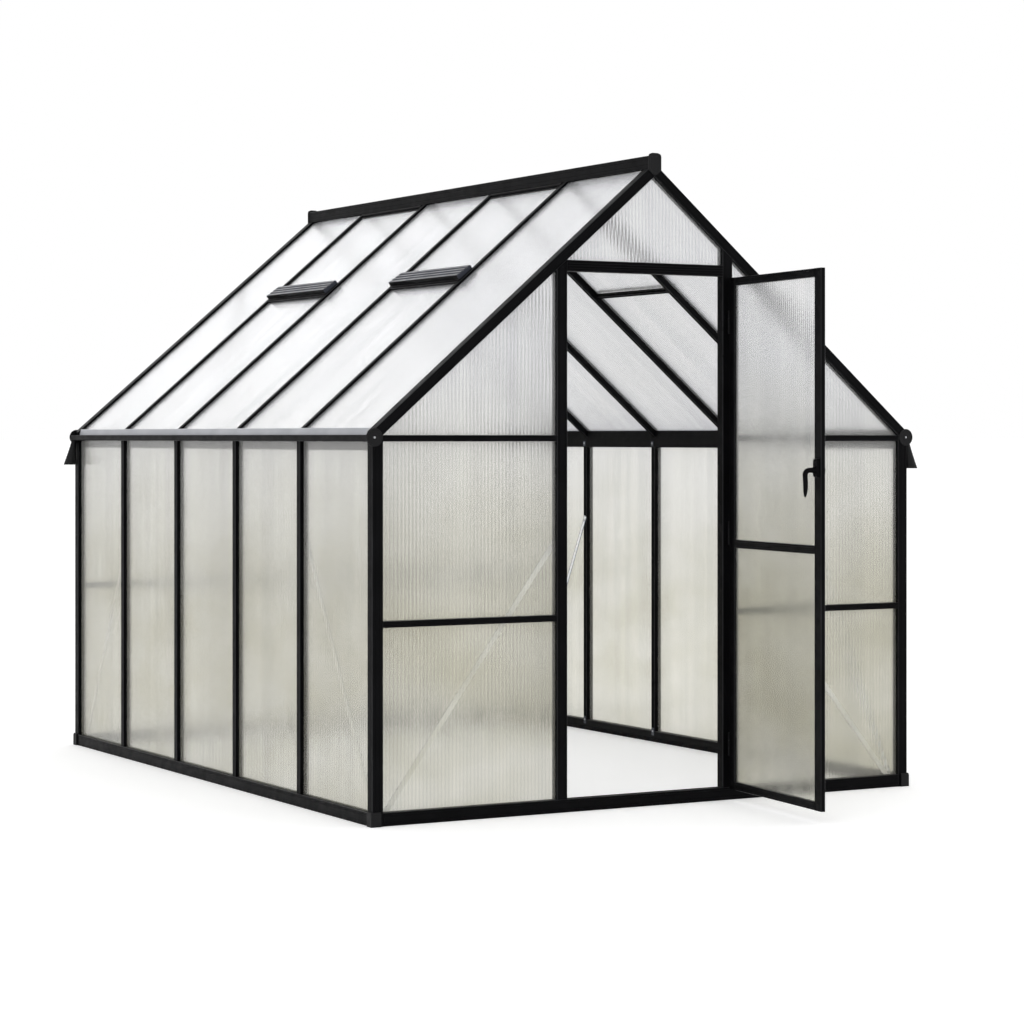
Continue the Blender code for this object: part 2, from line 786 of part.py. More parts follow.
# ---- diagonal braces on the inner faces ----
face_y = INNER_FRONT_Y + GAP + BRACE_THICK / 2
for label, side in SIDES.items():
    post_x = door_posts[label][0 if side < 0 else 1]
    brace(
        f"brace_front_{label}",
        (side * (CORNER_IN_X - BRACE_FOOT_IN), face_y, BRACE_LOW_Z),
        (post_x - side * BRACE_HEAD_IN, face_y, BRACE_HIGH_Z),
        "Y",
    )
    face_x = side * (SIDE_X - FRAME_DEPTH - GAP - BRACE_THICK / 2)
    brace(
        f"brace_{label}_front",
        (face_x, INNER_FRONT_Y + BRACE_FOOT_IN, BRACE_LOW_Z),
        (face_x, STUD_Y[0] + BRACE_HEAD_OVER, BRACE_HIGH_Z),
        "X",
    )
    brace(
        f"brace_{label}_rear",
        (face_x, INNER_REAR_Y - BRACE_FOOT_IN, BRACE_LOW_Z),
        (face_x, STUD_Y[-1] - BRACE_HEAD_OVER, BRACE_HIGH_Z),
        "X",
    )

# ---- door leaf, drawn shut and then turned open about its hinge line ----
door_pivot = bpy.data.objects.new("door_pivot", None)
PARTS.objects.link(door_pivot)
door_pivot.location = (HINGE_X, HINGE_Y, 0)
door_pivot.rotation_euler = (0, 0, math.radians(DOOR_OPEN_DEG))
door_frame = add(
    "door_frame",
    box_mesh((-LEAF_WIDTH, -LEAF_THICK, LEAF_LOW), (0, 0, LEAF_TOP)),
    BLACK,
    parent=door_pivot,
)
window = cutter(
    "door_window",
    box_mesh(
        (-LEAF_WIDTH + STILE, -LEAF_THICK - CUT_OVER, LEAF_LOW + LEAF_RAIL),
        (-STILE, CUT_OVER, LEAF_TOP - LEAF_RAIL),
    ),
    parent=door_pivot,
)
combine(door_frame, [window], "DIFFERENCE")
mid_strips = []
for place, (low_y, high_y) in {
    "outer": (-LEAF_THICK, -LEAF_SHEET_OUT - GAP),
    "inner": (-LEAF_SHEET_IN + GAP, 0.0),
}.items():
    mid_strips.append(
        cutter(
            f"door_mid_{place}",
            box_mesh(
                (-LEAF_WIDTH + STILE - CUT_OVER, low_y, LEAF_MID_LOW),
                (-STILE + CUT_OVER, high_y, LEAF_MID_LOW + LEAF_RAIL),
            ),
            parent=door_pivot,
        )
    )
handle_x = -LEAF_WIDTH + HANDLE_FROM_EDGE
plate = cutter(
    "handle_plate",
    box_mesh(
        (handle_x - PLATE_HALF, -PLATE_THICK / 2, HANDLE_Z - PLATE_BELOW),
        (handle_x + PLATE_HALF, PLATE_THICK, HANDLE_Z + PLATE_ABOVE),
    ),
    parent=door_pivot,
)
combine(door_frame, mid_strips + [plate], "UNION")
spindle_bore = cutter(
    "spindle_bore",
    round_mesh(
        SPINDLE_RADIUS + GAP,
        SPINDLE_RADIUS + GAP,
        -LEAF_THICK - CUT_OVER,
        PLATE_THICK + CUT_OVER,
        "Y",
        24,
        (handle_x, HANDLE_Z),
    ),
    parent=door_pivot,
)
combine(door_frame, [spindle_bore], "DIFFERENCE")
add(
    "door_glazing",
    box_mesh(
        (-LEAF_WIDTH + STILE + GAP, -LEAF_SHEET_OUT, LEAF_LOW + LEAF_RAIL + GAP),
        (-STILE - GAP, -LEAF_SHEET_IN, LEAF_TOP - LEAF_RAIL - GAP),
    ),
    SHEET,
    parent=door_pivot,
)

# ---- turning handle: spindle through the stile, a hanging lever inside and a low knob outside ----
handle = add(
    "door_handle",
    round_mesh(
        SPINDLE_RADIUS,
        SPINDLE_RADIUS,
        -LEAF_THICK - GAP - KNOB_THICK / 2,
        LEVER_REACH + LEVER_THICK / 2,
        "Y",
        24,
    ),
    PLASTIC,
    (handle_x, 0, HANDLE_Z),
    door_pivot,
)
knob_high = -LEAF_THICK - GAP
knob = cutter(
    "knob",
    round_mesh(
        KNOB_RADIUS, KNOB_RADIUS, knob_high - KNOB_THICK, knob_high, "Y", 24, (handle_x, HANDLE_Z)
    ),
    parent=door_pivot,
)
lever_low = HANDLE_Z - LEVER_DROP
lever_high = HANDLE_Z + LEVER_THICK / 2
half_lever = [
    (LEVER_TIP, lever_low),
    (LEVER_THICK / 2, lever_low + LEVER_TAPER),
    (LEVER_THICK / 2, lever_high),
]
lever_outline = [(handle_x - x, z) for x, z in reversed(half_lever)]
lever_outline += [(handle_x + x, z) for x, z in half_lever]
lever = cutter(
    "lever",
    outline_mesh(lever_outline, LEVER_REACH, LEVER_REACH + LEVER_THICK),
    parent=door_pivot,
)
combine(handle, [lever, knob], "UNION")

# ---- roof vents; a stay hangs from each one on the left slope ----
pin_u = STAY_U - VENT_AXIS_U
pin_n = STAY_N - VENT_AXIS_N
plate_low = VENT_LOW_N - VENT_AXIS_N
side_top = VENT_SIDE_TOP_N - VENT_AXIS_N
sheet_low = VENT_SHEET_LOW_N - VENT_AXIS_N
sheet_top = VENT_SHEET_TOP_N - VENT_AXIS_N
rail_low = VENT_RAIL_LOW_N - VENT_AXIS_N
pane_end = VENT_LENGTH - VENT_END_GAP
for label, side in SIDES.items():
    rail_top = VENT_TOP_N[label] - VENT_AXIS_N
    inner_end = VENT_LENGTH - VENT_RAIL[label]
    for place, bay in VENT_BAYS.items():
        middle = (STUD_Y[bay - 1] + STUD_Y[bay]) / 2
        key = f"{label}_{place}"
        pivot = slope_frame(f"vent_pivot_{key}", side, middle, VENT_AXIS_U, VENT_AXIS_N)
        vent = add(
            f"vent_{key}",
            box_mesh((0, -VENT_HALF_WIDTH, plate_low), (pane_end, VENT_HALF_WIDTH, side_top)),
            RIB,
            parent=pivot,
        )
        rail = cutter(
            f"vent_rail_{key}",
            box_mesh(
                (inner_end, -VENT_RAIL_HALF, rail_low), (VENT_LENGTH, VENT_RAIL_HALF, rail_top)
            ),
            parent=pivot,
        )
        web = cutter(
            f"vent_web_{key}",
            box_mesh(
                (inner_end + GAP, GAP - VENT_HALF_WIDTH, plate_low + GAP),
                (pane_end - GAP, VENT_HALF_WIDTH - GAP, rail_low + VENT_WEB_INTO),
            ),
            parent=pivot,
        )
        combine(vent, [web, rail], "UNION")
        edge = VENT_HALF_WIDTH - VENT_SIDE
        hollows = []
        for face, (low, high) in {
            "top": (sheet_top, rail_top + CUT_OVER),
            "under": (plate_low - CUT_OVER, sheet_low),
        }.items():
            hollows.append(
                cutter(
                    f"vent_hollow_{face}_{key}",
                    box_mesh((VENT_SIDE, -edge, low), (inner_end, edge, high)),
                    parent=pivot,
                )
            )
        for rib in range(VENT_GROOVES[label]):
            rib_u = inner_end + VENT_RAIL[label] * (rib + 1) / (VENT_GROOVES[label] + 1)
            hollows.append(
                cutter(
                    f"vent_groove_{rib}_{key}",
                    box_mesh(
                        (rib_u - VENT_GROOVE, -VENT_RAIL_HALF - CUT_OVER, rail_top - VENT_GROOVE),
                        (rib_u + VENT_GROOVE, VENT_RAIL_HALF + CUT_OVER, rail_top + CUT_OVER),
                    ),
                    parent=pivot,
                )
            )
        combine(vent, hollows, "DIFFERENCE")
        knuckle = cutter(
            f"vent_knuckle_{key}",
            round_mesh(
                VENT_KNUCKLE, VENT_KNUCKLE, -VENT_HALF_WIDTH, VENT_HALF_WIDTH, "Y", 16
            ),
            parent=pivot,
        )
        combine(vent, [knuckle], "UNION")
        if label not in STAY_SLOPES:
            continue
        lug_low = STAY_THICK / 2 + GAP
        lug = cutter(
            f"vent_lug_{key}",
            box_mesh(
                (pin_u - LUG_HALF, lug_low, pin_n - LUG_HALF),
                (pin_u + LUG_HALF, lug_low + LUG_THICK, plate_low + LUG_THICK / 2),
            ),
            parent=pivot,
        )
        pin = cutter(
            f"vent_pin_{key}",
            round_mesh(
                STAY_PIN_RADIUS,
                STAY_PIN_RADIUS,
                -STAY_THICK,
                lug_low + LUG_THICK / 2,
                "Y",
                12,
                (pin_u, pin_n),
            ),
            parent=pivot,
        )
        combine(vent, [lug, pin], "UNION")

        stay_pivot = bpy.data.objects.new(f"stay_pivot_{key}", None)
        PARTS.objects.link(stay_pivot)
        stay_pivot.parent = pivot
        stay_pivot.location = (pin_u, 0, pin_n)
        stay = add(
            f"vent_stay_{key}",
            box_mesh(
                (-STAY_WIDTH / 2, -STAY_THICK / 2, -STAY_LENGTH), (STAY_WIDTH / 2, STAY_THICK / 2, 0)
            ),
            BLACK,
            parent=stay_pivot,
        )
        eye = cutter(
            f"stay_eye_{key}",
            round_mesh(
                STAY_WIDTH / 2, STAY_WIDTH / 2, -STAY_THICK / 2, STAY_THICK / 2, "Y", 16
            ),
            parent=stay_pivot,
        )
        combine(stay, [eye], "UNION")
        bores = []
        depths = [0.0] + [-STAY_FIRST_HOLE - STAY_HOLE_STEP * k for k in range(STAY_HOLES)]
        for step, depth in enumerate(depths):
            bores.append(
                cutter(
                    f"stay_hole_{step}_{key}",
                    round_mesh(
                        STAY_HOLE_RADIUS,
                        STAY_HOLE_RADIUS,
                        -CUT_OVER,
                        CUT_OVER,
                        "Y",
                        12,
                        (0, depth),
                    ),
                    parent=stay_pivot,
                )
            )
        combine(stay, bores, "DIFFERENCE")

bpy.context.view_layer.update()
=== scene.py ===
# Looks of the walk-in greenhouse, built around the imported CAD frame. Metres, +Z up.
import math

import bmesh
import bpy
from mathutils import Matrix, Vector


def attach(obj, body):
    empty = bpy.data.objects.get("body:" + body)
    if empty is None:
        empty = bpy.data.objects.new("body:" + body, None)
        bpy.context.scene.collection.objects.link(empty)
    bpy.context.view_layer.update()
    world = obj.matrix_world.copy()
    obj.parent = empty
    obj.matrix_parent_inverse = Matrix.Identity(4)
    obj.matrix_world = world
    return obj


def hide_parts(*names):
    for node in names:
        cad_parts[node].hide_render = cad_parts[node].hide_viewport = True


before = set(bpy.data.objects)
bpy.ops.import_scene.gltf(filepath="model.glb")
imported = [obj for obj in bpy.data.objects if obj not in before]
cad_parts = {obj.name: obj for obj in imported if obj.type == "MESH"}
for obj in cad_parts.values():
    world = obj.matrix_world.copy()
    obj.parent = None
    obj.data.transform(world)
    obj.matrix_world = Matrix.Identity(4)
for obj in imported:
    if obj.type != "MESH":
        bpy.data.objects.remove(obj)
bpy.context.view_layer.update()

# ---- sizes shared with the CAD part ----
APEX_Z = 2.490
ROOF_RISE = 0.852
FRONT_Y = -0.020
REAR_Y = 3.080
SIDE_X = 1.22
DEPTH = 0.040
BAYS = 5

# base rails, posts, studs and the rails between them
SILL = 0.050
CORNER = 0.045
STUD_SHIFT = 0.022
BAR = 0.030
ROOF_BAR = 0.022
RAIL_LOW = 1.412
RAIL_TOP = 1.4355
MID_LOW = 0.728
MID_TOP = 0.752
REAR_POST_X = 0.377
REAR_POST = 0.036
BRACE_HEAD_Z = 1.040

# sheets, how deep they sit in the bars and how far they reach into the slots
SHEET_THICK = 0.006
SHEET_MID = 0.019
ROOF_MID = 0.013
SHEET_SLOT = SHEET_THICK + 0.0012
SLOT_DEEP = 0.008
TUCK = 0.0065
BITE = 0.0055
FLUTE = 0.0154

# eaves: beam, trough, seat of the roof bars, end discs and spouts
BEAM_IN_X = 1.186
INNER_LIP_X = 1.1766
SEAT_IN_X = 1.1880
SEAT_OUT_X = 1.2120
TROUGH_OUT = 1.244
TROUGH_TOP = 1.436
DISC_X = 1.212
ROOF_BAR_END_X = 1.2045
ROOF_SHEET_END_X = 1.2030
SPOUT_IN = 0.0122
SPOUT_LEAN = 0.0193
SPOUT_LOW = 1.300

# doorway, door leaf, hinges and handle
DOOR_LEFT = -0.392
DOOR_RIGHT = 0.317
DOOR_POST = 0.045
HEADER_LOW = 2.060
HEADER_TOP = 2.103
HINGE = (0.343, -0.024)
HINGE_Z = (0.22, 1.05, 1.88)
DOOR_OPEN = math.radians(83.6)
LEAF_WIDTH = 0.735
LEAF_THICK = 0.018
LEAF_LOW = 0.045
LEAF_TOP = 2.054
STILE = 0.050
LEAF_RAIL = 0.032
LEAF_MID = 0.994
HANDLE_X = -0.710
HANDLE_Z = 1.306
PLATE_HALF = (0.0175, 0.035)
PLATE_ROUND = 0.008
PLATE_OUT = 0.0120
PLATE_OUTSIDE = 0.003

# roof vents, crossbars and stays: u runs down the slope from the apex, n square to it outwards
VENT_U = 0.045
VENT_N = -0.004
VENT_HALF = 0.296
VENT_RAIL_HALF = 0.302
VENT_LOW = -0.0170
VENT_SIDE_TOP = -0.0060
VENT_PANE = -0.0120
VENT_RAIL_LOW = 0.0005
VENT_LENGTH = 0.624
VENT_RAILS = {"left": 0.076, "right": 0.012}
VENT_TOPS = {"left": 0.020, "right": 0.012}
VENT_SIDE = 0.009
VENT_HEAD_U = (0.0076, 0.018)
CROSSBAR_U = 0.669
CROSSBAR = 0.012
CROSSBAR_LOW = -0.026
STAY_U = 0.650
STAY_N = -0.0245
STAY_LENGTH = 0.260
STAY_ROUND = 0.006

# fits and fine detail: clearance between pieces, grooves as width and depth
GAP = 0.0003
FINE_GROOVE = (0.0022, 0.0011)
LEAF_GROOVE = (0.0020, 0.0010)
NOISE_RANGE = (0.3, 0.7)

THETA = math.atan(ROOF_RISE)
COS = math.cos(THETA)
SIN = math.sin(THETA)
SIDES = {"left": -1, "right": 1}
STUD_Y = [FRONT_Y + STUD_SHIFT + (REAR_Y - FRONT_Y) * k / BAYS for k in range(1, BAYS)]
IN_FRONT = FRONT_Y + DEPTH
IN_REAR = REAR_Y - DEPTH
CORNER_IN = SIDE_X - CORNER
VENTS = {"front": 1, "rear": 3}
X, Y, Z = Vector((1, 0, 0)), Vector((0, 1, 0)), Vector((0, 0, 1))
ORIGIN = (0, 0, 0)
STAY_PUT = Matrix.Identity(4)
UPRIGHT = (1.0, 0.1, 1.0)


# ---- materials ----
def new_material(name):
    made = bpy.data.materials.new(name)
    made.use_nodes = True
    tree = made.node_tree
    return made, tree, tree.nodes["Principled BSDF"]


def link(tree, a, out, b, into):
    tree.links.new(a.outputs[out], b.inputs[into])


def noise(tree, scale, detail=3.0, stretch=(1, 1, 1)):
    """Noise in the object's own coordinates, stretched along an axis if asked."""
    where = tree.nodes.new("ShaderNodeTexCoord")
    place = tree.nodes.new("ShaderNodeMapping")
    place.inputs["Scale"].default_value = stretch
    made = tree.nodes.new("ShaderNodeTexNoise")
    made.inputs["Scale"].default_value = scale
    made.inputs["Detail"].default_value = detail
    link(tree, where, "Object", place, "Vector")
    link(tree, place, "Vector", made, "Vector")
    return made


def ramp(tree, source, stops, out="Fac"):
    made = tree.nodes.new("ShaderNodeValToRGB")
    band = made.color_ramp
    while len(band.elements) < len(stops):
        band.elements.new(0.5)
    for element, (at, colour) in zip(band.elements, stops):
        element.position = at
        element.color = (*colour, 1.0)
    link(tree, source, out, made, "Fac")
    return made


def between(tree, source, out, low, high, to_low=0.0, to_high=1.0):
    """A value taken from one range into another and held at its ends."""
    made = tree.nodes.new("ShaderNodeMapRange")
    made.inputs["From Min"].default_value = low
    made.inputs["From Max"].default_value = high
    made.inputs["To Min"].default_value = to_low
    made.inputs["To Max"].default_value = to_high
    link(tree, source, out, made, "Value")
    return made


def bump(tree, shader, source, distance):
    made = tree.nodes.new("ShaderNodeBump")
    made.inputs["Distance"].default_value = distance
    made.inputs["Strength"].default_value = 0.5
    link(tree, source, "Fac", made, "Height")
    link(tree, made, "Normal", shader, "Normal")


def solid_look(name, dark, light, rough, specular=0.5, metallic=0.0, grain=700.0, depth=0.00012,
               stretch=(1, 1, 1)):
    """A coated, moulded or metal surface with uneven tone, uneven gloss and a fine grain."""
    made, tree, shader = new_material(name)
    tone = ramp(tree, noise(tree, 6.0, 5.0, stretch), [(0.32, dark), (0.68, light)])
    link(tree, tone, "Color", shader, "Base Color")
    gloss = between(tree, noise(tree, 23.0, 4.0, stretch), "Fac", *NOISE_RANGE, *rough)
    link(tree, gloss, "Result", shader, "Roughness")
    bump(tree, shader, noise(tree, grain, 2.0, stretch), depth)
    shader.inputs["Metallic"].default_value = metallic
    shader.inputs["Specular IOR Level"].default_value = specular
    return made


BLACK = solid_look("black_coat", (0.0014, 0.0014, 0.0017), (0.0032, 0.0032, 0.0038), (0.34, 0.50), 0.045)
# Broken corners of the bars: a lighter, glossier copy of the black coat, a painted highlight along every
# corner.
EDGE_PAINTED_HIGHLIGHT = solid_look("black_coat_edge_painted_highlight", (0.004, 0.004, 0.0045), (0.020, 0.021, 0.023), (0.26, 0.42), 0.25)
PLASTIC = solid_look("black_moulded_plastic", (0.003, 0.003, 0.0035), (0.0062, 0.0062, 0.0068),
                     (0.42, 0.58), 0.16, grain=420.0, depth=0.0002)
RUBBER = solid_look("black_rubber_seal", (0.004, 0.004, 0.004), (0.008, 0.008, 0.008), (0.6, 0.8), 0.15,
                    grain=900.0, depth=0.0001)
RIB = solid_look("blue_grey_coat", (0.020, 0.023, 0.032), (0.050, 0.056, 0.074), (0.30, 0.44), 0.32,
                 stretch=(0.25, 1, 1))
# Braces: the turned-up flanks are a darker copy of the aluminium, a painted shade; the flat face is a lighter
# copy that also glows a little, a painted highlight and painted glow.
BRACE_FLANK_PAINTED_SHADE = solid_look("aluminium_in_shade", (0.20, 0.22, 0.26), (0.30, 0.32, 0.37), (0.35, 0.5), 0.4)
BRACE_FACE_PAINTED_LIT = solid_look("aluminium_face_painted_lit_glow", (0.86, 0.87, 0.89), (0.95, 0.955, 0.96), (0.30, 0.45),
                        metallic=0.25, grain=260.0, depth=0.00008)
BRACE_PAINTED_GLOW = BRACE_FACE_PAINTED_LIT.node_tree.nodes["Principled BSDF"].inputs
BRACE_PAINTED_GLOW["Emission Color"].default_value = (0.90, 0.91, 0.93, 1.0)
BRACE_PAINTED_GLOW["Emission Strength"].default_value = 0.22
EAVE_TRIM = solid_look("pale_satin_trim", (0.36, 0.37, 0.40), (0.46, 0.47, 0.50), (0.30, 0.42), 0.5)
HANDLE = solid_look("black_handle_plastic", (0.0012, 0.0012, 0.0014), (0.0030, 0.0030, 0.0034),
                    (0.40, 0.55), 0.05, grain=420.0, depth=0.00015)
PALE_RIB = solid_look("pale_blue_grey_coat", (0.20, 0.22, 0.26), (0.30, 0.32, 0.36), (0.30, 0.46), 0.5)
STEEL = solid_look("zinc_plated_steel", (0.42, 0.43, 0.45), (0.62, 0.63, 0.64), (0.25, 0.42), metallic=1.0,
                   grain=500.0, depth=0.00006)


def wave_of(tree, source, axis, length):
    """Cosine of a coordinate, one turn per length."""
    turns = tree.nodes.new("ShaderNodeMath")
    turns.operation = "MULTIPLY"
    turns.inputs[1].default_value = 2 * math.pi / length
    link(tree, source, axis, turns, 0)
    made = tree.nodes.new("ShaderNodeMath")
    made.operation = "COSINE"
    link(tree, turns, "Value", made, 0)
    return made


def tinted(tree, first, second, factor=None, blend="MULTIPLY"):
    """Two colours combined; second may be a plain colour."""
    made = tree.nodes.new("ShaderNodeMix")
    made.data_type = "RGBA"
    made.blend_type = blend
    made.inputs["Factor"].default_value = 1.0
    tree.links.new(first, made.inputs["A"])
    if isinstance(second, tuple):
        made.inputs["B"].default_value = (*second, 1.0)
    else:
        tree.links.new(second, made.inputs["B"])
    if factor is not None:
        tree.links.new(factor, made.inputs["Factor"])
    return made.outputs["Result"]


def sheet_look(name, tint_low, tint_high, rough, line, foot=None):
    """Milky twin-wall sheet: cloudy transmission, webs as fine lines, light let through to what it shades.

    line is the tone of the webs; foot is a warmer, darker tint low down on an upright sheet."""
    made, tree, shader = new_material(name)
    where = tree.nodes.new("ShaderNodeTexCoord")
    split = tree.nodes.new("ShaderNodeSeparateXYZ")
    link(tree, where, "Object", split, "Vector")
    web = between(tree, wave_of(tree, split, "X", FLUTE), "Value", 0.45, 1.0)
    cloud = ramp(tree, noise(tree, 2.4, 4.0), [(0.3, tint_low), (0.7, tint_high)])
    colour = cloud.outputs["Color"]
    if foot:
        patch = noise(tree, 1.5, 2.0, (1.4, 2.6, 1.0))
        warm = ramp(tree, patch, [(0.36, foot), (0.62, tuple(0.75 * c + 0.25 for c in foot))])
        height = between(tree, split, "Y", 1.75, 0.75)
        colour = tinted(tree, colour, warm.outputs["Color"], height.outputs["Result"])
    streak = noise(tree, 11.0, 3.0, (1.0, 0.02, 0.2))
    bands = ramp(tree, streak, [(0.35, (0.93, 0.932, 0.94)), (0.62, (1.0, 1.0, 1.0))])
    colour = tinted(tree, colour, bands.outputs["Color"])
    colour = tinted(tree, colour, line, web.outputs["Result"])
    tree.links.new(colour, shader.inputs["Base Color"])
    gloss = between(tree, noise(tree, 9.0, 4.0, UPRIGHT), "Fac", *NOISE_RANGE, rough - 0.04, rough + 0.05)
    link(tree, gloss, "Result", shader, "Roughness")
    shader.inputs["Transmission Weight"].default_value = 0.86
    shader.inputs["IOR"].default_value = 1.38
    shader.inputs["Specular IOR Level"].default_value = 0.5
    path = tree.nodes.new("ShaderNodeLightPath")
    clear = tree.nodes.new("ShaderNodeBsdfTransparent")
    clear.inputs["Color"].default_value = (0.88, 0.885, 0.89, 1.0)
    both = tree.nodes.new("ShaderNodeMixShader")
    link(tree, path, "Is Shadow Ray", both, "Fac")
    link(tree, shader, "BSDF", both, 1)
    link(tree, clear, "BSDF", both, 2)
    link(tree, both, "Shader", tree.nodes["Material Output"], "Surface")
    return made


WALL_SHEET = sheet_look("wall_sheet", (0.955, 0.955, 0.95), (0.985, 0.985, 0.982), 0.17,
                        (0.86, 0.865, 0.88), (0.70, 0.685, 0.60))
ROOF_SHEET = sheet_look("roof_sheet", (0.90, 0.903, 0.918), (0.935, 0.938, 0.95), 0.17,
                        (0.955, 0.957, 0.962))


# ---- making pieces ----
def piece(name, mesh, materials, body="frame", slot=None, nodes=(), place=None):
    """One visible piece that rides on a body and may stand for CAD nodes."""
    for material in materials if isinstance(materials, (list, tuple)) else [materials]:
        mesh.materials.append(material)
    made = bpy.data.objects.new(name, mesh)
    bpy.context.scene.collection.objects.link(made)
    if place is not None:
        made.matrix_world = place
    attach(made, body)
    if nodes:
        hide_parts(*nodes)
    return made


def to_mesh(shape, sharp=None):
    """The mesh of a shape; edges turning more than sharp degrees stay crisp on a smooth one."""
    bmesh.ops.recalc_face_normals(shape, faces=shape.faces)
    mesh = bpy.data.meshes.new("mesh")
    shape.to_mesh(mesh)
    shape.free()
    if sharp:
        mesh.set_sharp_from_angle(angle=math.radians(sharp))
    return mesh


def loft(rings, edges=(), smooth=(), sharp=None):
    """A closed shape through rings of points. Sides in edges take the second material, on the bars a painted
    highlight, and sides in smooth are shaded smooth.
    """
    shape = bmesh.new()
    rings = [[shape.verts.new(point) for point in ring] for ring in rings]
    for one, two in zip(rings, rings[1:]):
        for k in range(len(one)):
            n = (k + 1) % len(one)
            face = shape.faces.new((one[k], one[n], two[n], two[k]))
            face.material_index = int(k in edges)
            face.smooth = k in smooth
    shape.faces.new(rings[0])
    shape.faces.new(rings[-1])
    return to_mesh(shape, sharp)


def grooved(a0, b0, a1, b1, cuts=(), soft=0.0014):
    """Outline of a rectangle with broken corners, and its corner sides.

    A cut is (face, middle, width, depth)."""
    corners = [Vector((a0, b0)), Vector((a1, b0)), Vector((a1, b1)), Vector((a0, b1))]
    outline, edges = [], []
    for face in range(4):
        start, end = corners[face], corners[(face + 1) % 4]
        along = (end - start).normalized()
        inward = Vector((-along.y, along.x))
        length = (end - start).length
        edges.append(len(outline) - 1)
        outline.append(start + along * soft)
        found = []
        for where, middle, width, depth in cuts:
            if where == ("b0", "a1", "b1", "a0")[face]:
                at = middle if face < 2 else length - middle
                found.append((at, width, depth))
        for at, width, depth in sorted(found):
            slant = min(0.3 * width, 0.35 * abs(depth))
            outline.append(start + along * (at - width / 2))
            outline.append(start + along * (at - width / 2 + slant) + inward * depth)
            outline.append(start + along * (at + width / 2 - slant) + inward * depth)
            outline.append(start + along * (at + width / 2))
        outline.append(end - along * soft)
    edges[0] = len(outline) - 1
    return outline, edges


def prism(section, origin, a, b, along, ends):
    """A section drawn out along a direction. An end is a distance, or a point and normal of a plane."""
    outline, edges = section if isinstance(section, tuple) else (section, ())
    along = Vector(along)
    rings = []
    for end in ends:
        ring = []
        for point in outline:
            base = Vector(origin) + Vector(a) * point[0] + Vector(b) * point[1]
            reach = end
            if isinstance(end, tuple):
                at, normal = Vector(end[0]), Vector(end[1])
                reach = (at - base).dot(normal) / along.dot(normal)
            ring.append(base + along * reach)
        rings.append(ring)
    return loft(rings, edges)


def bar(name, section, origin, a, b, along, ends, **facts):
    """A black extruded bar whose broken corners are lighter, a painted highlight."""
    facts.setdefault("slot", "black")
    return piece(name, prism(section, origin, a, b, along, ends), [BLACK, EDGE_PAINTED_HIGHLIGHT], **facts)


def carve(mesh, tools):
    """The mesh with other meshes cut out of it."""
    helpers = [bpy.data.objects.new("carve", shape) for shape in [mesh, *tools]]
    made = helpers[0]
    for helper in helpers:
        bpy.context.scene.collection.objects.link(helper)
    for tool in helpers[1:]:
        step = made.modifiers.new("step", "BOOLEAN")
        step.operation = "DIFFERENCE"
        step.solver = "EXACT"
        step.object = tool
    bpy.context.view_layer.update()
    result = bpy.data.meshes.new_from_object(made.evaluated_get(bpy.context.evaluated_depsgraph_get()))
    for helper in helpers:
        bpy.data.objects.remove(helper)
    return result


def flat_prism(section, ends):
    """A section in X and Z drawn out along Y."""
    return prism(section, ORIGIN, X, Z, Y, ends)


def turned(profile, sides=48):
    """A closed shape turned about Z from pairs of radius and height; a radius of 0 is a point on the axis."""
    shape = bmesh.new()
    rings = []
    for radius, height in profile:
        turns = [2 * math.pi * k / sides for k in range(sides if radius > 0 else 1)]
        rings.append([shape.verts.new((radius * math.cos(t), radius * math.sin(t), height)) for t in turns])
    pairs = list(zip(rings, rings[1:]))
    if len(rings[0]) > 1:
        pairs.append((rings[-1], rings[0]))
    for one, two in pairs:
        for k in range(sides):
            n = (k + 1) % sides
            corners = (one[k % len(one)], one[n % len(one)], two[n % len(two)], two[k % len(two)])
            corners = list(dict.fromkeys(corners))
            if len(corners) > 2:
                shape.faces.new(corners).smooth = True
    return to_mesh(shape, 35)


def swept(points, radii, flat=1.0, sides=16):
    """A closed round bar along points in a plane square to X; flat squeezes it in that plane."""
    rings = []
    for k, point in enumerate(points):
        forward = (points[min(k + 1, len(points) - 1)] - points[max(k - 1, 0)]).normalized()
        second = forward.cross(X).normalized() * flat
        turns = [2 * math.pi * s / sides for s in range(sides)]
        rings.append([point + (X * math.cos(t) + second * math.sin(t)) * radii[k] for t in turns])
    return loft(rings, smooth=range(sides), sharp=40)


def merged(meshes_and_places):
    """Several meshes joined into one, each moved to its place."""
    shape = bmesh.new()
    for mesh, place in meshes_and_places:
        before = len(shape.verts)
        shape.from_mesh(mesh)
        shape.verts.ensure_lookup_table()
        bmesh.ops.transform(shape, matrix=place, verts=shape.verts[before:])
    mesh = bpy.data.meshes.new("merged")
    shape.to_mesh(mesh)
    shape.free()
    return mesh


def facing(point, direction, turn=0.0):
    """A place at a point whose Z axis looks along a direction."""
    z = Vector(direction).normalized()
    helper = Z if abs(z.z) < 0.9 else X
    x = helper.cross(z).normalized()
    y = z.cross(x)
    spin = Matrix.Rotation(turn, 4, "Z")
    return Matrix.Translation(point) @ Matrix((x, y, z)).transposed().to_4x4() @ spin


def hex_head(across, high):
    """A bolt head with a broken top edge on a thin washer."""
    rim, thick = across * 0.68, 0.0012
    washer = [(0, 0), (rim, 0), (rim, 0.0008), (across * 0.60, thick), (0, thick)]
    flat = across / 2
    head = [(0, thick), (flat, thick), (flat, high - 0.0008), (across * 0.42, high), (0, high)]
    return merged([(turned(washer, 24), STAY_PUT), (turned(head, 6), STAY_PUT)])


def roof_z(x, below=0.0):
    return APEX_Z - ROOF_RISE * abs(x) - below / COS


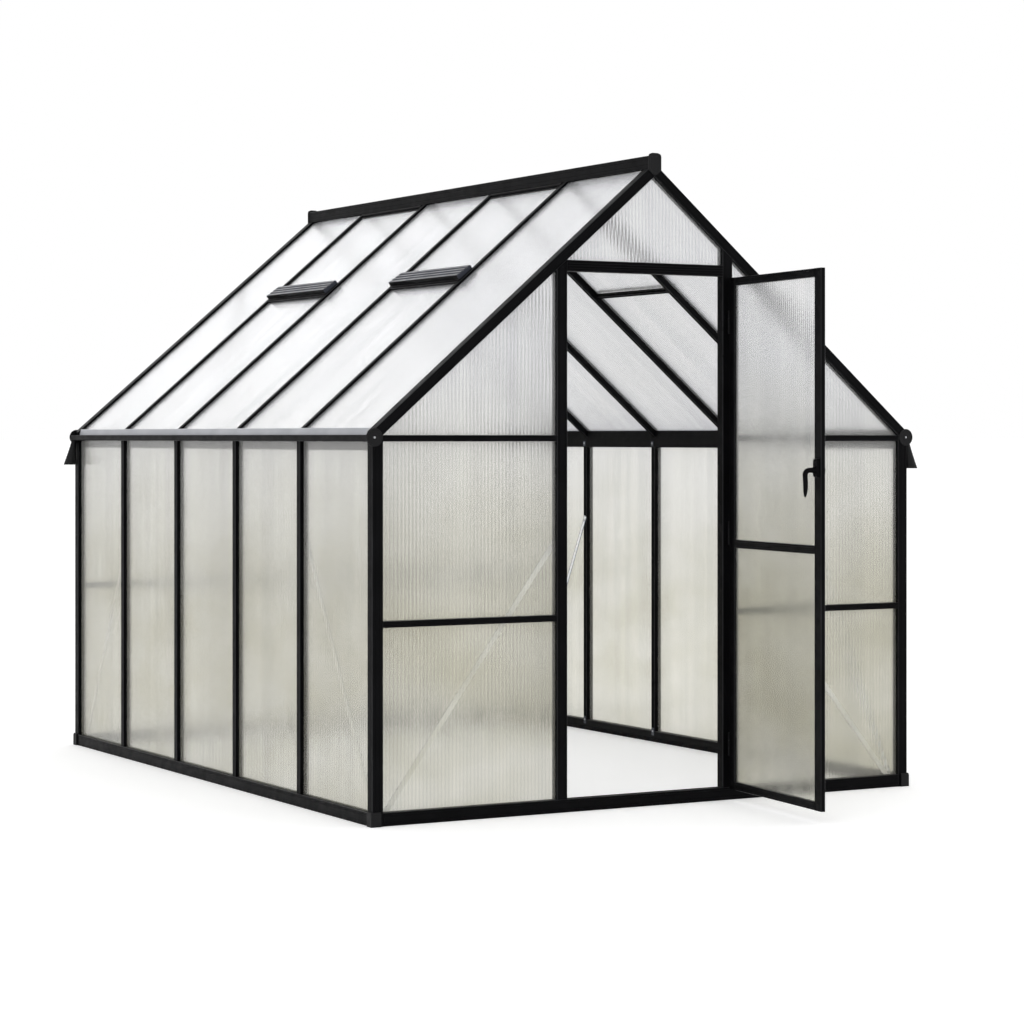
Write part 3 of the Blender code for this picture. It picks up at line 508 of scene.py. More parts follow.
def fluted(name, across, low_of, high_of, place, material, knots=(), **facts):
    """A twin-wall sheet in its own frame: X across the flutes, Y along them, Z through it.

    across is (low, high) in X; low_of and high_of give the ends of the flutes at an X."""
    steps = 4
    first = math.ceil(across[0] / FLUTE * steps)
    last = math.floor(across[1] / FLUTE * steps)
    columns = [across[0]] + [k * FLUTE / steps for k in range(first, last + 1)] + [across[1]]
    columns = sorted(set(columns) | {k for k in knots if across[0] < k < across[1]})
    columns = [c for k, c in enumerate(columns) if k == 0 or c - columns[k - 1] > 1e-5]
    rows = []
    for x in columns:
        relief = 0.00028 * math.cos(2 * math.pi * x / FLUTE)
        half = SHEET_THICK / 2 - 0.0003 + relief
        low = low_of(x)
        high = max(high_of(x), low + 0.0005)
        rows.append([(x, low, -half), (x, high, -half), (x, high, half), (x, low, half)])
    facts.setdefault("slot", "sheet")
    mesh = loft(rows, smooth=(0, 2), sharp=30)
    return piece(name, mesh, material, place=place, **facts)


def level(value):
    return lambda x: value


def wall_place(side):
    """Sheet frame of a side wall: X along the house, Y up, Z outwards."""
    turn = Matrix((Y, Z, X)).transposed().to_4x4()
    return Matrix.Translation((side * (SIDE_X - SHEET_MID), 0, 0)) @ turn


def gable_place(y):
    """Sheet frame of a gable: X along the gable, Y up."""
    turn = Matrix((X, Z, -Y)).transposed().to_4x4()
    return Matrix.Translation((0, y, 0)) @ turn


def slope_axes(side):
    """Down the slope, and square to it outwards."""
    return Vector((side * COS, 0, -SIN)), Vector((side * SIN, 0, COS))


def slope_point(side, y, u, n):
    down, out = slope_axes(side)
    return Vector((0, y, APEX_Z)) + down * u + out * n


# ---- base rails: stepped profile; the light top lip is a painted highlight on its broken corner ----
def sill_cuts(outer, inner, seat):
    return [
        (outer, 0.010, 0.003, 0.0014),
        (outer, 0.0405, 0.0035, 0.0016),
        (inner, 0.012, 0.006, 0.003),
        ("b1", seat, SHEET_SLOT, SLOT_DEEP),
    ]


for end, y0 in {"front": FRONT_Y, "rear": IN_REAR}.items():
    cuts = sill_cuts("a0", "a1", SHEET_MID) if end == "front" else sill_cuts("a1", "a0", DEPTH - SHEET_MID)
    bar(f"sill_{end}_rail", grooved(y0, 0.0, y0 + DEPTH, SILL, cuts), ORIGIN, Y, Z, X,
        (-CORNER_IN + GAP, CORNER_IN - GAP), nodes=[f"sill_{end}"])
for label, side in SIDES.items():
    low, high = sorted((side * (SIDE_X - DEPTH), side * SIDE_X))
    cuts = sill_cuts("a1", "a0", DEPTH - SHEET_MID) if side > 0 else sill_cuts("a0", "a1", SHEET_MID)
    bar(f"sill_{label}_rail", grooved(low, 0.0, high, SILL, cuts), ORIGIN, X, Z, Y,
        (IN_FRONT + GAP, IN_REAR - GAP), nodes=[f"sill_{label}"])

# ---- corner posts and their moulded shoes ----
for end, y0 in {"front": FRONT_Y, "rear": IN_REAR}.items():
    for label, side in SIDES.items():
        x0, x1 = sorted((side * CORNER_IN, side * SIDE_X))
        face_out = "b0" if end == "front" else "b1"
        side_out = "a1" if side > 0 else "a0"
        side_in = "a0" if side > 0 else "a1"
        face_in = "b1" if end == "front" else "b0"
        from_out = (lambda d: CORNER - d) if side > 0 else (lambda d: d)
        deep = (lambda d: d) if end == "front" else (lambda d: DEPTH - d)
        cuts = [
            (face_out, from_out(0.013), *FINE_GROOVE),
            (face_out, from_out(0.030), *FINE_GROOVE),
            (side_out, deep(0.012), *FINE_GROOVE),
            (side_out, deep(0.028), *FINE_GROOVE),
            (side_in, deep(SHEET_MID), SHEET_SLOT, SLOT_DEEP),
            (face_in, from_out(SHEET_MID), SHEET_SLOT, SLOT_DEEP),
        ]
        top = ((side * SIDE_X, 0, roof_z(SIDE_X, DEPTH) - GAP), (side * SIN, 0, COS))
        bar(f"post_{end}_{label}_bar", grooved(x0, y0, x1, y0 + DEPTH, cuts), ORIGIN, X, Y, Z,
            (0.0, top), nodes=[f"post_{end}_{label}"])
        outward = -1 if end == "front" else 1
        face_y = FRONT_Y if end == "front" else REAR_Y
        shoe_outline = [
            (side * (SIDE_X + 0.0070), face_y + outward * 0.0050),
            (side * (SIDE_X + 0.0050), face_y + outward * 0.0070),
            (side * (SIDE_X - 0.0340), face_y + outward * 0.0070),
            (side * (SIDE_X - 0.0340), face_y + outward * 0.0002),
            (side * (SIDE_X + 0.0002), face_y + outward * 0.0002),
            (side * (SIDE_X + 0.0002), face_y - outward * 0.0320),
            (side * (SIDE_X + 0.0070), face_y - outward * 0.0320),
        ]
        rings = []
        for z, inset in ((0.0, 0.0), (0.046, 0.0), (0.054, 0.0022)):
            ring = []
            for k, (px, py) in enumerate(shoe_outline):
                if k in (0, 1, 2, 6) and abs(px) > SIDE_X + 0.003:
                    px -= side * inset
                if k in (0, 1, 2) and abs(py - face_y) > 0.003:
                    py -= outward * inset
                ring.append((px, py, z))
            rings.append(ring)
        piece(f"shoe_{end}_{label}", loft(rings), PLASTIC, slot="black")

# ---- eave beams with trough ----
def eave_outline():
    """Beam, trough and stepped seat for the roof bars, as X and Z on the right-hand side."""
    seat = SIDE_X - SHEET_MID
    return [
        (BEAM_IN_X, 1.4250), (INNER_LIP_X, 1.4250), (INNER_LIP_X, 1.3795), (1.1772, 1.3790),
        (1.1797, 1.3790), (1.1797, RAIL_LOW), (seat - 0.0036, RAIL_LOW), (seat - 0.0036, RAIL_LOW + 0.008),
        (seat + 0.0036, RAIL_LOW + 0.008), (seat + 0.0036, RAIL_LOW), (TROUGH_OUT - 0.003, RAIL_LOW),
        (TROUGH_OUT, RAIL_LOW + 0.003), (TROUGH_OUT, RAIL_LOW + 0.0085),
        (TROUGH_OUT - 0.0007, RAIL_LOW + 0.0095), (TROUGH_OUT - 0.0007, RAIL_LOW + 0.0155),
        (TROUGH_OUT, RAIL_LOW + 0.0165), (TROUGH_OUT, 1.4350), (TROUGH_OUT - 0.001, 1.4362),
        (TROUGH_OUT - 0.0038, 1.4362), (TROUGH_OUT - 0.0038, 1.4338), (TROUGH_OUT - 0.002, 1.4332),
        (TROUGH_OUT - 0.002, RAIL_LOW + 0.0045), (TROUGH_OUT - 0.004, RAIL_LOW + 0.0025),
        (SIDE_X + 0.0045, RAIL_LOW + 0.0025), (SIDE_X + 0.0023, RAIL_LOW + 0.0045),
        (SIDE_X + 0.0023, TROUGH_TOP), (SEAT_OUT_X, TROUGH_TOP), (1.2060, 1.4411), (1.2052, 1.4402),
        (1.2038, 1.4414), (1.2046, 1.4423), (1.1962, 1.4494), (1.1954, 1.4485), (1.1940, 1.4497),
        (1.1948, 1.4506), (SEAT_IN_X, 1.4565), (BEAM_IN_X, 1.4565),
    ]


TROUGH_POINTS = slice(10, 26)
TRIM = [
    (1.2128, 1.4364), (1.2128, 1.4380), (1.2068, 1.4618), (1.2050, 1.4630), (1.2046, 1.4615),
    (1.2052, 1.4600), (1.2112, 1.4374), (1.2112, 1.4364),
]
DISC = [
    (0, 0), (0.034, 0), (0.034, 0.0028), (0.0326, 0.0040), (0.0300, 0.0040), (0.0290, 0.0030),
    (0.0150, 0.0030), (0.0140, 0.0040), (0.0085, 0.0040), (0.0075, 0.0032), (0, 0.0032),
]
DISC_Z = (RAIL_LOW + TROUGH_TOP) / 2 + 0.003
for label, side in SIDES.items():
    outline = [(side * x, z) for x, z in eave_outline()]
    between_gables = (IN_FRONT + GAP, IN_REAR - GAP)
    trough = outline[TROUGH_POINTS] + [(side * (SIDE_X + GAP), TROUGH_TOP), (side * (SIDE_X + GAP), RAIL_LOW)]
    parts = [flat_prism(outline, between_gables)]
    for ends in ((FRONT_Y - GAP, IN_FRONT + GAP), (IN_REAR - GAP, REAR_Y + GAP)):
        parts.append(flat_prism(trough, ends))
    trim = flat_prism([(side * x, z) for x, z in TRIM], between_gables)
    piece(f"eave_trim_{label}", trim, EAVE_TRIM, slot="black")
    gutter = merged([(mesh, STAY_PUT) for mesh in parts])
    piece(f"gutter_{label}_profile", gutter, BLACK, slot="black", nodes=[f"gutter_{label}"])
    for end, (face_y, look) in {"front": (FRONT_Y - GAP, -1), "rear": (REAR_Y + GAP, 1)}.items():
        place = facing((side * DISC_X, face_y, DISC_Z), (0, look, 0))
        piece(f"gutter_end_{end}_{label}", turned(DISC, 64), PLASTIC, slot="black", place=place)
        place = facing((side * DISC_X, face_y + look * DISC[-1][1], DISC_Z), (0, look, 0), 0.3)
        screw = hex_head(0.006, 0.0028)
        piece(f"gutter_end_screw_{end}_{label}", screw, STEEL, slot="silver", place=place)

    # flared spout leaning outwards, with a thin wall and a collar at its neck
    height = RAIL_LOW - GAP - SPOUT_LOW
    flare = [(0.0115 + 0.0185 * (k / 12) ** 1.25, -height * k / 12) for k in range(13)]
    inner = [(r - 0.002, z) for r, z in reversed(flare)]
    collar = [(0.0095, 0.0), (0.0128, 0.0), (0.0128, -0.006), (0.0118, -0.0068)]
    spout = turned(collar + flare[1:] + inner[:-1], 40)
    for vertex in spout.vertices:
        vertex.co.x -= side * SPOUT_LEAN / height * vertex.co.z
    outlet_y = REAR_Y - DEPTH / 2 if side < 0 else FRONT_Y + DEPTH / 2
    place = Matrix.Translation((side * (SIDE_X + SPOUT_IN), outlet_y, RAIL_LOW - GAP))
    piece(f"spout_{label}_moulding", spout, PLASTIC, slot="plastic", nodes=[f"spout_{label}"], place=place)

# ---- ridge: hollow channel with ribs, and its end caps ----
half = [
    (0.0230, 2.4679), (0.0260, 2.4679), (0.0260, 2.4800), (0.0252, 2.4808), (0.0252, 2.4840),
    (0.0260, 2.4848), (0.0260, 2.5000), (0.0252, 2.5008), (0.0252, 2.5040), (0.0260, 2.5048),
    (0.0260, 2.5155), (0.0240, 2.5180), (0.0110, 2.5180), (0.0102, 2.5170), (0.0075, 2.5170),
    (0.0067, 2.5180),
]
ridge_outline = half + [(-x, z) for x, z in reversed(half)]
ridge_outline += [(-0.0230, 2.5120), (-0.0215, 2.5150), (0.0215, 2.5150), (0.0230, 2.5120)]
ridge_mesh = flat_prism(ridge_outline, (FRONT_Y - GAP, REAR_Y + GAP))
piece("ridge_profile", ridge_mesh, BLACK, slot="black", nodes=["ridge_beam"])
half_cap = [
    (0.006, 2.443), (0.029, 2.462), (0.029, 2.514), (0.0275, 2.5205), (0.024, 2.525), (0.012, 2.529),
]
cap = half_cap + [(-x, z) for x, z in reversed(half_cap)]
CAP_MID_Z = 2.489
for end, (y, look) in {"front": (FRONT_Y - GAP, -1), "rear": (REAR_Y + GAP, 1)}.items():
    rings = [
        [(x * scale, y + look * off, CAP_MID_Z + (z - CAP_MID_Z) * scale) for x, z in cap]
        for scale, off in ((1.0, 0.0), (1.0, 0.0030), (0.95, 0.0040), (0.80, 0.0040), (0.76, 0.0030))
    ]
    piece(f"ridge_cap_{end}_moulding", loft(rings), PLASTIC, slot="plastic", nodes=[f"ridge_cap_{end}"])

# ---- gable rafters ----
for end, y0 in {"front": FRONT_Y, "rear": IN_REAR}.items():
    for label, side in SIDES.items():
        down, out = slope_axes(side)
        outer_a = "a0" if end == "front" else "a1"
        inner_a = "a1" if end == "front" else "a0"
        seat = SHEET_MID if end == "front" else DEPTH - SHEET_MID
        cuts = [
            ("b1", 0.009 if end == "front" else DEPTH - 0.009, 0.0030, 0.0016),
            ("b1", 0.031 if end == "front" else DEPTH - 0.031, 0.0030, 0.0016),
            (outer_a, 0.010, 0.0025, 0.0012),
            (outer_a, 0.030, 0.0025, 0.0012),
            (inner_a, DEPTH - SHEET_MID, SHEET_SLOT, SLOT_DEEP),
            ("b0", seat, SHEET_SLOT, 0.006),
        ]
        section = grooved(y0, -DEPTH, y0 + DEPTH, 0.0, cuts)
        top = ((side * GAP, 0, 0), (1, 0, 0))
        foot = ((side * SIDE_X, 0, 0), (1, 0, 0))
        bar(f"rafter_{end}_{label}_bar", section, (0, 0, APEX_Z), Y, out, down, (top, foot),
            nodes=[f"rafter_{end}_{label}"])

# ---- studs, roof bars and the crossbars under the vents ----
def glazing_bar(width, seat):
    """Section of a glazing bar: grooved outer flange, sheet slots at its sides, bolt channel inside."""
    cuts = [
        ("b1", width * 0.3, 0.0022, 0.0012),
        ("b1", width * 0.7, 0.0022, 0.0012),
        ("a0", DEPTH - seat, SHEET_SLOT, 0.007),
        ("a1", DEPTH - seat, SHEET_SLOT, 0.007),
        ("b0", width / 2, 0.0080, 0.0060),
    ]
    return grooved(-width / 2, -DEPTH, width / 2, 0.0, cuts)


for label, side in SIDES.items():
    down, out = slope_axes(side)
    for number, y in enumerate(STUD_Y, 1):
        bar(f"stud_{label}_{number}_bar", glazing_bar(BAR, SHEET_MID), (side * SIDE_X, y, 0), Y,
            (side, 0, 0), Z, (SILL + GAP, RAIL_LOW - GAP), nodes=[f"stud_{label}_{number}"])
    notch = [
        (side * (BEAM_IN_X - GAP), RAIL_LOW - 0.1),
        (side * (SIDE_X + 0.05), RAIL_LOW - 0.1),
        (side * (SIDE_X + 0.05), TROUGH_TOP + GAP),
        (side * SEAT_OUT_X, TROUGH_TOP + GAP),
        (side * SEAT_IN_X, 1.4568),
        (side * (BEAM_IN_X - GAP), 1.4568),
    ]
    for place, first in VENTS.items():
        for number in (first, first + 1):
            y = STUD_Y[number - 1]
            ends = [((side * x, 0, 0), (1, 0, 0)) for x in (GAP, ROOF_BAR_END_X)]
            mesh = prism(glazing_bar(ROOF_BAR, ROOF_MID), (0, y, APEX_Z), Y, out, down, ends)
            mesh = carve(mesh, [flat_prism(notch, (0, IN_REAR))])
            nodes = [f"roof_bars_{label}_{place}"] if number == first else ()
            piece(f"roof_bar_{label}_{number}", mesh, [BLACK, EDGE_PAINTED_HIGHLIGHT], slot="black", nodes=nodes)
        y0 = STUD_Y[first - 1] + ROOF_BAR / 2 + GAP
        y1 = STUD_Y[first] - ROOF_BAR / 2 - GAP
        cuts = [
            ("b1", CROSSBAR / 2, 0.003, 0.0015),
            ("a1", -CROSSBAR_LOW - ROOF_MID, SHEET_SLOT, 0.005),
            ("b0", CROSSBAR / 2, 0.004, 0.003),
        ]
        section = grooved(CROSSBAR_U, CROSSBAR_LOW, CROSSBAR_U + CROSSBAR, -GAP, cuts)
        bar(f"vent_crossbar_{label}_{place}", section, (0, 0, APEX_Z), down, out, Y, (y0, y1))

# ---- sheets of the side walls and the roof ----
bay_ends = [IN_FRONT] + STUD_Y + [IN_REAR]


def bay_reach(bay, width):
    """How far the sheet of a bay reaches along the house, between bars of a width."""
    low = bay_ends[bay] + (width / 2 if bay else 0)
    high = bay_ends[bay + 1] - (width / 2 if bay < BAYS - 1 else 0)
    return low - TUCK, high + TUCK


for label, side in SIDES.items():
    down, out = slope_axes(side)
    for bay in range(BAYS):
        fluted(f"wall_sheet_{label}_{bay + 1}", bay_reach(bay, BAR), level(SILL - TUCK),
               level(RAIL_LOW + TUCK), wall_place(side), WALL_SHEET, nodes=[f"glazing_wall_{label}"])
        place = Matrix.Translation((0, 0, APEX_Z)) @ Matrix((Y, down, out)).transposed().to_4x4()
        place = place @ Matrix.Translation((0, 0, -ROOF_MID))
        top_u = 0.016 + ROOF_MID * SIN / COS
        end_u = (ROOF_SHEET_END_X + ROOF_MID * SIN) / COS
        start = CROSSBAR_U + CROSSBAR - 0.0045 if bay in VENTS.values() else top_u
        fluted(f"roof_sheet_{label}_{bay + 1}", bay_reach(bay, ROOF_BAR), level(start), level(end_u), place,
               ROOF_SHEET, nodes=[f"glazing_roof_{label}"])

# ---- gables ----
def under_rafter(x):
    return roof_z(x, DEPTH - BITE)


posts = {
    "left": (DOOR_LEFT - DOOR_POST, DOOR_LEFT),
    "right": (DOOR_RIGHT, DOOR_RIGHT + DOOR_POST),
}
rear_posts = {
    "left": (-REAR_POST_X - REAR_POST / 2, -REAR_POST_X + REAR_POST / 2),
    "right": (REAR_POST_X - REAR_POST / 2, REAR_POST_X + REAR_POST / 2),
}


def gable_upright(name, x0, x1, y0, outer, inner, slots, nodes):
    side = 1 if x0 > 0 else -1
    width = x1 - x0
    deep = SHEET_MID if outer == "b0" else DEPTH - SHEET_MID
    cuts = [
        (outer, 0.010, 0.0024, 0.0012),
        (outer, width - 0.010, 0.0024, 0.0012),
        (inner, width / 2, 0.010, 0.004),
    ]
    for face in slots:
        cuts.append((face, deep, SHEET_SLOT, SLOT_DEEP))
    top = ((side * SIDE_X, 0, roof_z(SIDE_X, DEPTH) - GAP), (side * SIN, 0, COS))
    bar(name, grooved(x0, y0, x1, y0 + DEPTH, cuts), ORIGIN, X, Y, Z, (SILL + GAP, top), nodes=nodes)


gable_upright("door_post_left_bar", *posts["left"], FRONT_Y, "b0", "b1", ["a0"], ["door_post_left"])
gable_upright("door_post_right_bar", *posts["right"], FRONT_Y, "b0", "b1", ["a1"], ["door_post_right"])
for label in SIDES:
    gable_upright(f"rear_post_{label}_bar", *rear_posts[label], IN_REAR, "b1", "b0", ["a0", "a1"],
                  ["rear_frame"])


def gable_rail(name, x0, x1, y0, z0, z1, outer, inner, nodes, slots=("b0", "b1")):
    deep = SHEET_MID if outer == "a0" else DEPTH - SHEET_MID
    tall = z1 - z0
    cuts = [(outer, tall * 0.27, *FINE_GROOVE), (outer, tall * 0.5, *FINE_GROOVE),
            (outer, tall * 0.73, *FINE_GROOVE), (inner, tall / 2, 0.008, 0.004)]
    for face in slots:
        cuts.append((face, deep, SHEET_SLOT, 0.0062))
    bar(name, grooved(y0, z0, y0 + DEPTH, z1, cuts, 0.0012), ORIGIN, Y, Z, X, (x0, x1), nodes=nodes)


spans = {
    "left": (-CORNER_IN + GAP, posts["left"][0] - GAP),
    "right": (posts["right"][1] + GAP, CORNER_IN - GAP),
}
for label, (x0, x1) in spans.items():
    for place, z0, z1 in (("eave", RAIL_LOW, RAIL_TOP), ("mid", MID_LOW, MID_TOP)):
        gable_rail(f"front_rail_{place}_{label}_bar", x0, x1, FRONT_Y, z0, z1, "a0", "a1",
                   [f"front_rail_{place}_{label}"])
gable_rail("door_header_bar", DOOR_LEFT + GAP, DOOR_RIGHT - GAP, FRONT_Y, HEADER_LOW, HEADER_TOP, "a0", "a1",
           ["door_header"], slots=("b1",))
rear_spans = {
    "left": (-CORNER_IN + GAP, rear_posts["left"][0] - GAP),
    "middle": (rear_posts["left"][1] + GAP, rear_posts["right"][0] - GAP),
    "right": (rear_posts["right"][1] + GAP, CORNER_IN - GAP),
}
for label, (x0, x1) in rear_spans.items():
    for place, z0, z1 in (("eave", RAIL_LOW, RAIL_TOP), ("mid", MID_LOW, MID_TOP)):
        gable_rail(f"rear_rail_{place}_{label}_bar", x0, x1, IN_REAR, z0, z1, "a1", "a0", ["rear_frame"])

for end, y, blocks, node in (
    ("front", FRONT_Y + SHEET_MID, spans, "glazing_front"),
    ("rear", REAR_Y - SHEET_MID, rear_spans, "glazing_rear"),
):
    for label, (x0, x1) in blocks.items():
        reach = (x0 - TUCK, x1 + TUCK)
        for place, low, high in (
            ("low", SILL - TUCK, MID_LOW + BITE),
            ("mid", MID_TOP - BITE, RAIL_LOW + BITE),
        ):
            fluted(f"{end}_sheet_{label}_{place}", reach, level(low), level(high), gable_place(y), WALL_SHEET,
                   nodes=[node])
        cut = (APEX_Z - (DEPTH - BITE) / COS - RAIL_TOP + BITE) / ROOF_RISE - 0.002
        top_reach = (max(reach[0], -cut), min(reach[1], cut))
        fluted(f"{end}_sheet_{label}_top", top_reach, level(RAIL_TOP - BITE), under_rafter, gable_place(y),
               WALL_SHEET, knots=(0.0,), nodes=[node])
fluted("front_sheet_over_door", (DOOR_LEFT, DOOR_RIGHT), level(HEADER_TOP - BITE), under_rafter,
       gable_place(FRONT_Y + SHEET_MID), WALL_SHEET, knots=(0.0,), nodes=["glazing_front"])

# ---- braces: flat bars with turned-up edges, flattened ends and bolts ----
def brace(name, start, finish, thin, node):
    start, finish, thin = Vector(start), Vector(finish), Vector(thin)
    along = (finish - start).normalized()
    across = thin.cross(along)
    length = (finish - start).length
    section = [
        (-0.0100, -0.0015), (0.0100, -0.0015), (0.0100, 0.0010), (0.0088, 0.0015), (0.0076, 0.0002),
        (0.0030, -0.0002), (0.0022, 0.0008), (-0.0022, 0.0008), (-0.0030, -0.0002), (-0.0076, 0.0002),
        (-0.0088, 0.0015), (-0.0100, 0.0010),
    ]
    # sides that take the darker copy: painted shade on the flanks
    painted_shade_flanks = [1, 2, 3, 9, 10, 11]
    mesh = prism((section, painted_shade_flanks), start, across, thin, along, (0.0, length))
    piece(name, mesh, [BRACE_FACE_PAINTED_LIT, BRACE_FLANK_PAINTED_SHADE], slot="silver", nodes=[node])
    places = [facing(start + along * at + thin * 0.0009, thin) for at in (0.022, length - 0.022)]
    bolts = merged([(hex_head(0.010, 0.0045), place) for place in places])
    piece(f"{name}_bolts", bolts, STEEL, slot="silver")


face_y = IN_FRONT + GAP + 0.0015
for label, side in SIDES.items():
    post_x = posts[label][0 if side < 0 else 1]
    brace(f"front_brace_{label}", (side * (CORNER_IN - 0.018), face_y, 0.032),
          (post_x - side * 0.020, face_y, BRACE_HEAD_Z), Y, f"brace_front_{label}")
    face_x = side * (SIDE_X - DEPTH - GAP - 0.0015)
    for end, foot_y, head_y in (
        ("front", IN_FRONT + 0.020, STUD_Y[0] + 0.006),
        ("rear", IN_REAR - 0.020, STUD_Y[-1] - 0.006),
    ):
        brace(f"wall_brace_{label}_{end}", (face_x, foot_y, 0.034), (face_x, head_y, BRACE_HEAD_Z),
              (-side, 0, 0), f"brace_{label}_{end}")

# ---- small cleats at the heads of the studs and at their feet ----
cleats = []
cleat_bolts = []
for label, side in SIDES.items():
    for y in STUD_Y:
        for x, z0, z1 in ((INNER_LIP_X, 1.3835, 1.4080), (SIDE_X - DEPTH, 0.030, SILL + 0.016)):
            xa, xb = sorted((side * (x - 0.0014), side * (x - 0.0002)))
            outline = grooved(-0.0105, z0, 0.0105, z1, (), 0.002)
            cleats.append((prism(outline, (xa, y, 0), Y, Z, X, (0.0, xb - xa)), STAY_PUT))
            head = facing((side * (x - 0.0014), y, (z0 + z1) / 2 + 0.002), (-side, 0, 0))
            cleat_bolts.append((hex_head(0.007, 0.0030), head))
piece("stud_cleats", merged(cleats), RIB, slot="rib")
piece("stud_cleat_bolts", merged(cleat_bolts), STEEL, slot="silver")

# ---- door leaf, in its own frame and turned open about the hinge line ----
DOOR = Matrix.Translation((HINGE[0], HINGE[1], 0)) @ Matrix.Rotation(DOOR_OPEN, 4, "Z")


def leaf_bar(name, section, a, b, along, ends, nodes=()):
    """A black bar of the door leaf, in the leaf's own frame."""
    bar(name, section, ORIGIN, a, b, along, ends, body="door", nodes=nodes, place=DOOR)


def leaf_cuts(width, sheet_face):
    seat = LEAF_THICK / 2
    return [
        ("b0", 0.007, *LEAF_GROOVE), ("b0", width - 0.007, *LEAF_GROOVE),
        ("b1", 0.007, *LEAF_GROOVE), ("b1", width - 0.007, *LEAF_GROOVE),
        (sheet_face, seat, SHEET_SLOT, 0.006),
    ]


HINGE_INSET = 0.0042
free = grooved(-LEAF_WIDTH, -LEAF_THICK, -LEAF_WIDTH + STILE, 0.0, leaf_cuts(STILE, "a1"))
leaf_bar("door_stile_free", free, X, Y, Z, (LEAF_LOW, LEAF_TOP), nodes=["door_frame"])
hinged = grooved(-STILE, -LEAF_THICK, -HINGE_INSET, 0.0, leaf_cuts(STILE - HINGE_INSET, "a0"))
leaf_bar("door_stile_hinged", hinged, X, Y, Z, (LEAF_LOW, LEAF_TOP))
x0, x1 = -LEAF_WIDTH + STILE + GAP, -STILE - GAP
for label, z0, faces in (
    ("bottom", LEAF_LOW, ["b1"]),
    ("middle", LEAF_MID, ["b0", "b1"]),
    ("top", LEAF_TOP - LEAF_RAIL, ["b0"]),
):
    cuts = [
        ("a0", 0.008, *LEAF_GROOVE), ("a0", LEAF_RAIL - 0.008, *LEAF_GROOVE),
        ("a1", 0.008, *LEAF_GROOVE), ("a1", LEAF_RAIL - 0.008, *LEAF_GROOVE),
    ]
    for face in faces:
        cuts.append((face, LEAF_THICK / 2, SHEET_SLOT, 0.006))
    section = grooved(-LEAF_THICK, z0, 0.0, z0 + LEAF_RAIL, cuts)
    leaf_bar(f"door_rail_{label}", section, Y, Z, X, (x0, x1))
place = DOOR @ Matrix.Translation((0, -LEAF_THICK / 2, 0)) @ Matrix((X, Z, -Y)).transposed().to_4x4()
for label, low, high in (
    ("lower", LEAF_LOW + LEAF_RAIL, LEAF_MID),
    ("upper", LEAF_MID + LEAF_RAIL, LEAF_TOP - LEAF_RAIL),
):
    fluted(f"door_sheet_{label}", (x0 - BITE, x1 + BITE), level(low - BITE), level(high + BITE), place,
           WALL_SHEET, body="door", nodes=["door_glazing"])

# hinge knuckles: the outer two of each set turn with the door
for number, z in enumerate(HINGE_Z):
    for k, (low, high) in enumerate(((-0.045, -0.0155), (-0.015, 0.015), (0.0155, 0.045))):
        knuckle = turned([
            (0, low), (0.0030, low), (0.0037, low + 0.0008),
            (0.0037, high - 0.0008), (0.0030, high), (0, high),
        ], 24)
        body = "frame" if k == 1 else "door"
        place = Matrix.Translation((*HINGE, z)) if k == 1 else DOOR @ Matrix.Translation((0, 0, z))
        piece(f"hinge_knuckle_{number}_{k}", knuckle, PLASTIC, body=body, slot="black", place=place)

# handle: rounded plate on each face, collar, and a hanging lever inside and a knob outside
def handle_plate(name, y0, y1):
    rings = []
    for y, inset in ((y0, 0.0), (y0 + (y1 - y0) * 0.6, 0.0), (y1, 0.003)):
        r = PLATE_ROUND - inset
        ring = []
        for cx, cz, start in ((1, 1, 0), (-1, 1, 90), (-1, -1, 180), (1, -1, 270)):
            for step in range(5):
                turn = math.radians(start + step * 22.5)
                x = HANDLE_X + cx * (PLATE_HALF[0] - PLATE_ROUND) + r * math.cos(turn)
                z = HANDLE_Z + 0.008 + cz * (PLATE_HALF[1] - PLATE_ROUND) + r * math.sin(turn)
                ring.append((x, y, z))
        rings.append(ring)
    piece(name, loft(rings), HANDLE, body="door", slot="black", place=DOOR)


handle_plate("handle_plate_inner", 0.0002, PLATE_OUT)
handle_plate("handle_plate_outer", -LEAF_THICK - 0.0002, -LEAF_THICK - PLATE_OUTSIDE)
screws = []
for y, look in ((PLATE_OUT, 1), (-LEAF_THICK - PLATE_OUTSIDE, -1)):
    for dz in (-0.019, 0.035):
        screws.append((hex_head(0.006, 0.0026), facing((HANDLE_X, y, HANDLE_Z + dz), (0, look, 0))))
piece("handle_plate_screws", merged(screws), HANDLE, body="door", slot="black", place=DOOR)


def lever(start_y, reach, bend=0.018, drop=0.100):
    """Neck out of the plate, a round bend and a grip that hangs down and narrows to its tip."""
    route = [(start_y, 0.0), (start_y + (reach - bend) * 0.5, 0.0)]
    for step in range(9):
        turn = math.radians(90 / 8 * step)
        route.append((start_y + reach - bend + bend * math.sin(turn), bend * math.cos(turn) - bend))
    for step in range(1, 11):
        t = step / 10
        route.append((start_y + reach - 0.002 * math.sin(math.pi * t), -bend - (drop - bend) * t))
    points = [Vector((HANDLE_X, y, HANDLE_Z + dz)) for y, dz in route]
    radii = [0.0115, 0.0108] + [0.0102] * 9
    radii += [0.0100, 0.0099, 0.0098, 0.0097, 0.0095, 0.0092, 0.0086, 0.0075, 0.0056, 0.0024]
    return swept(points, radii, 0.92, 24)


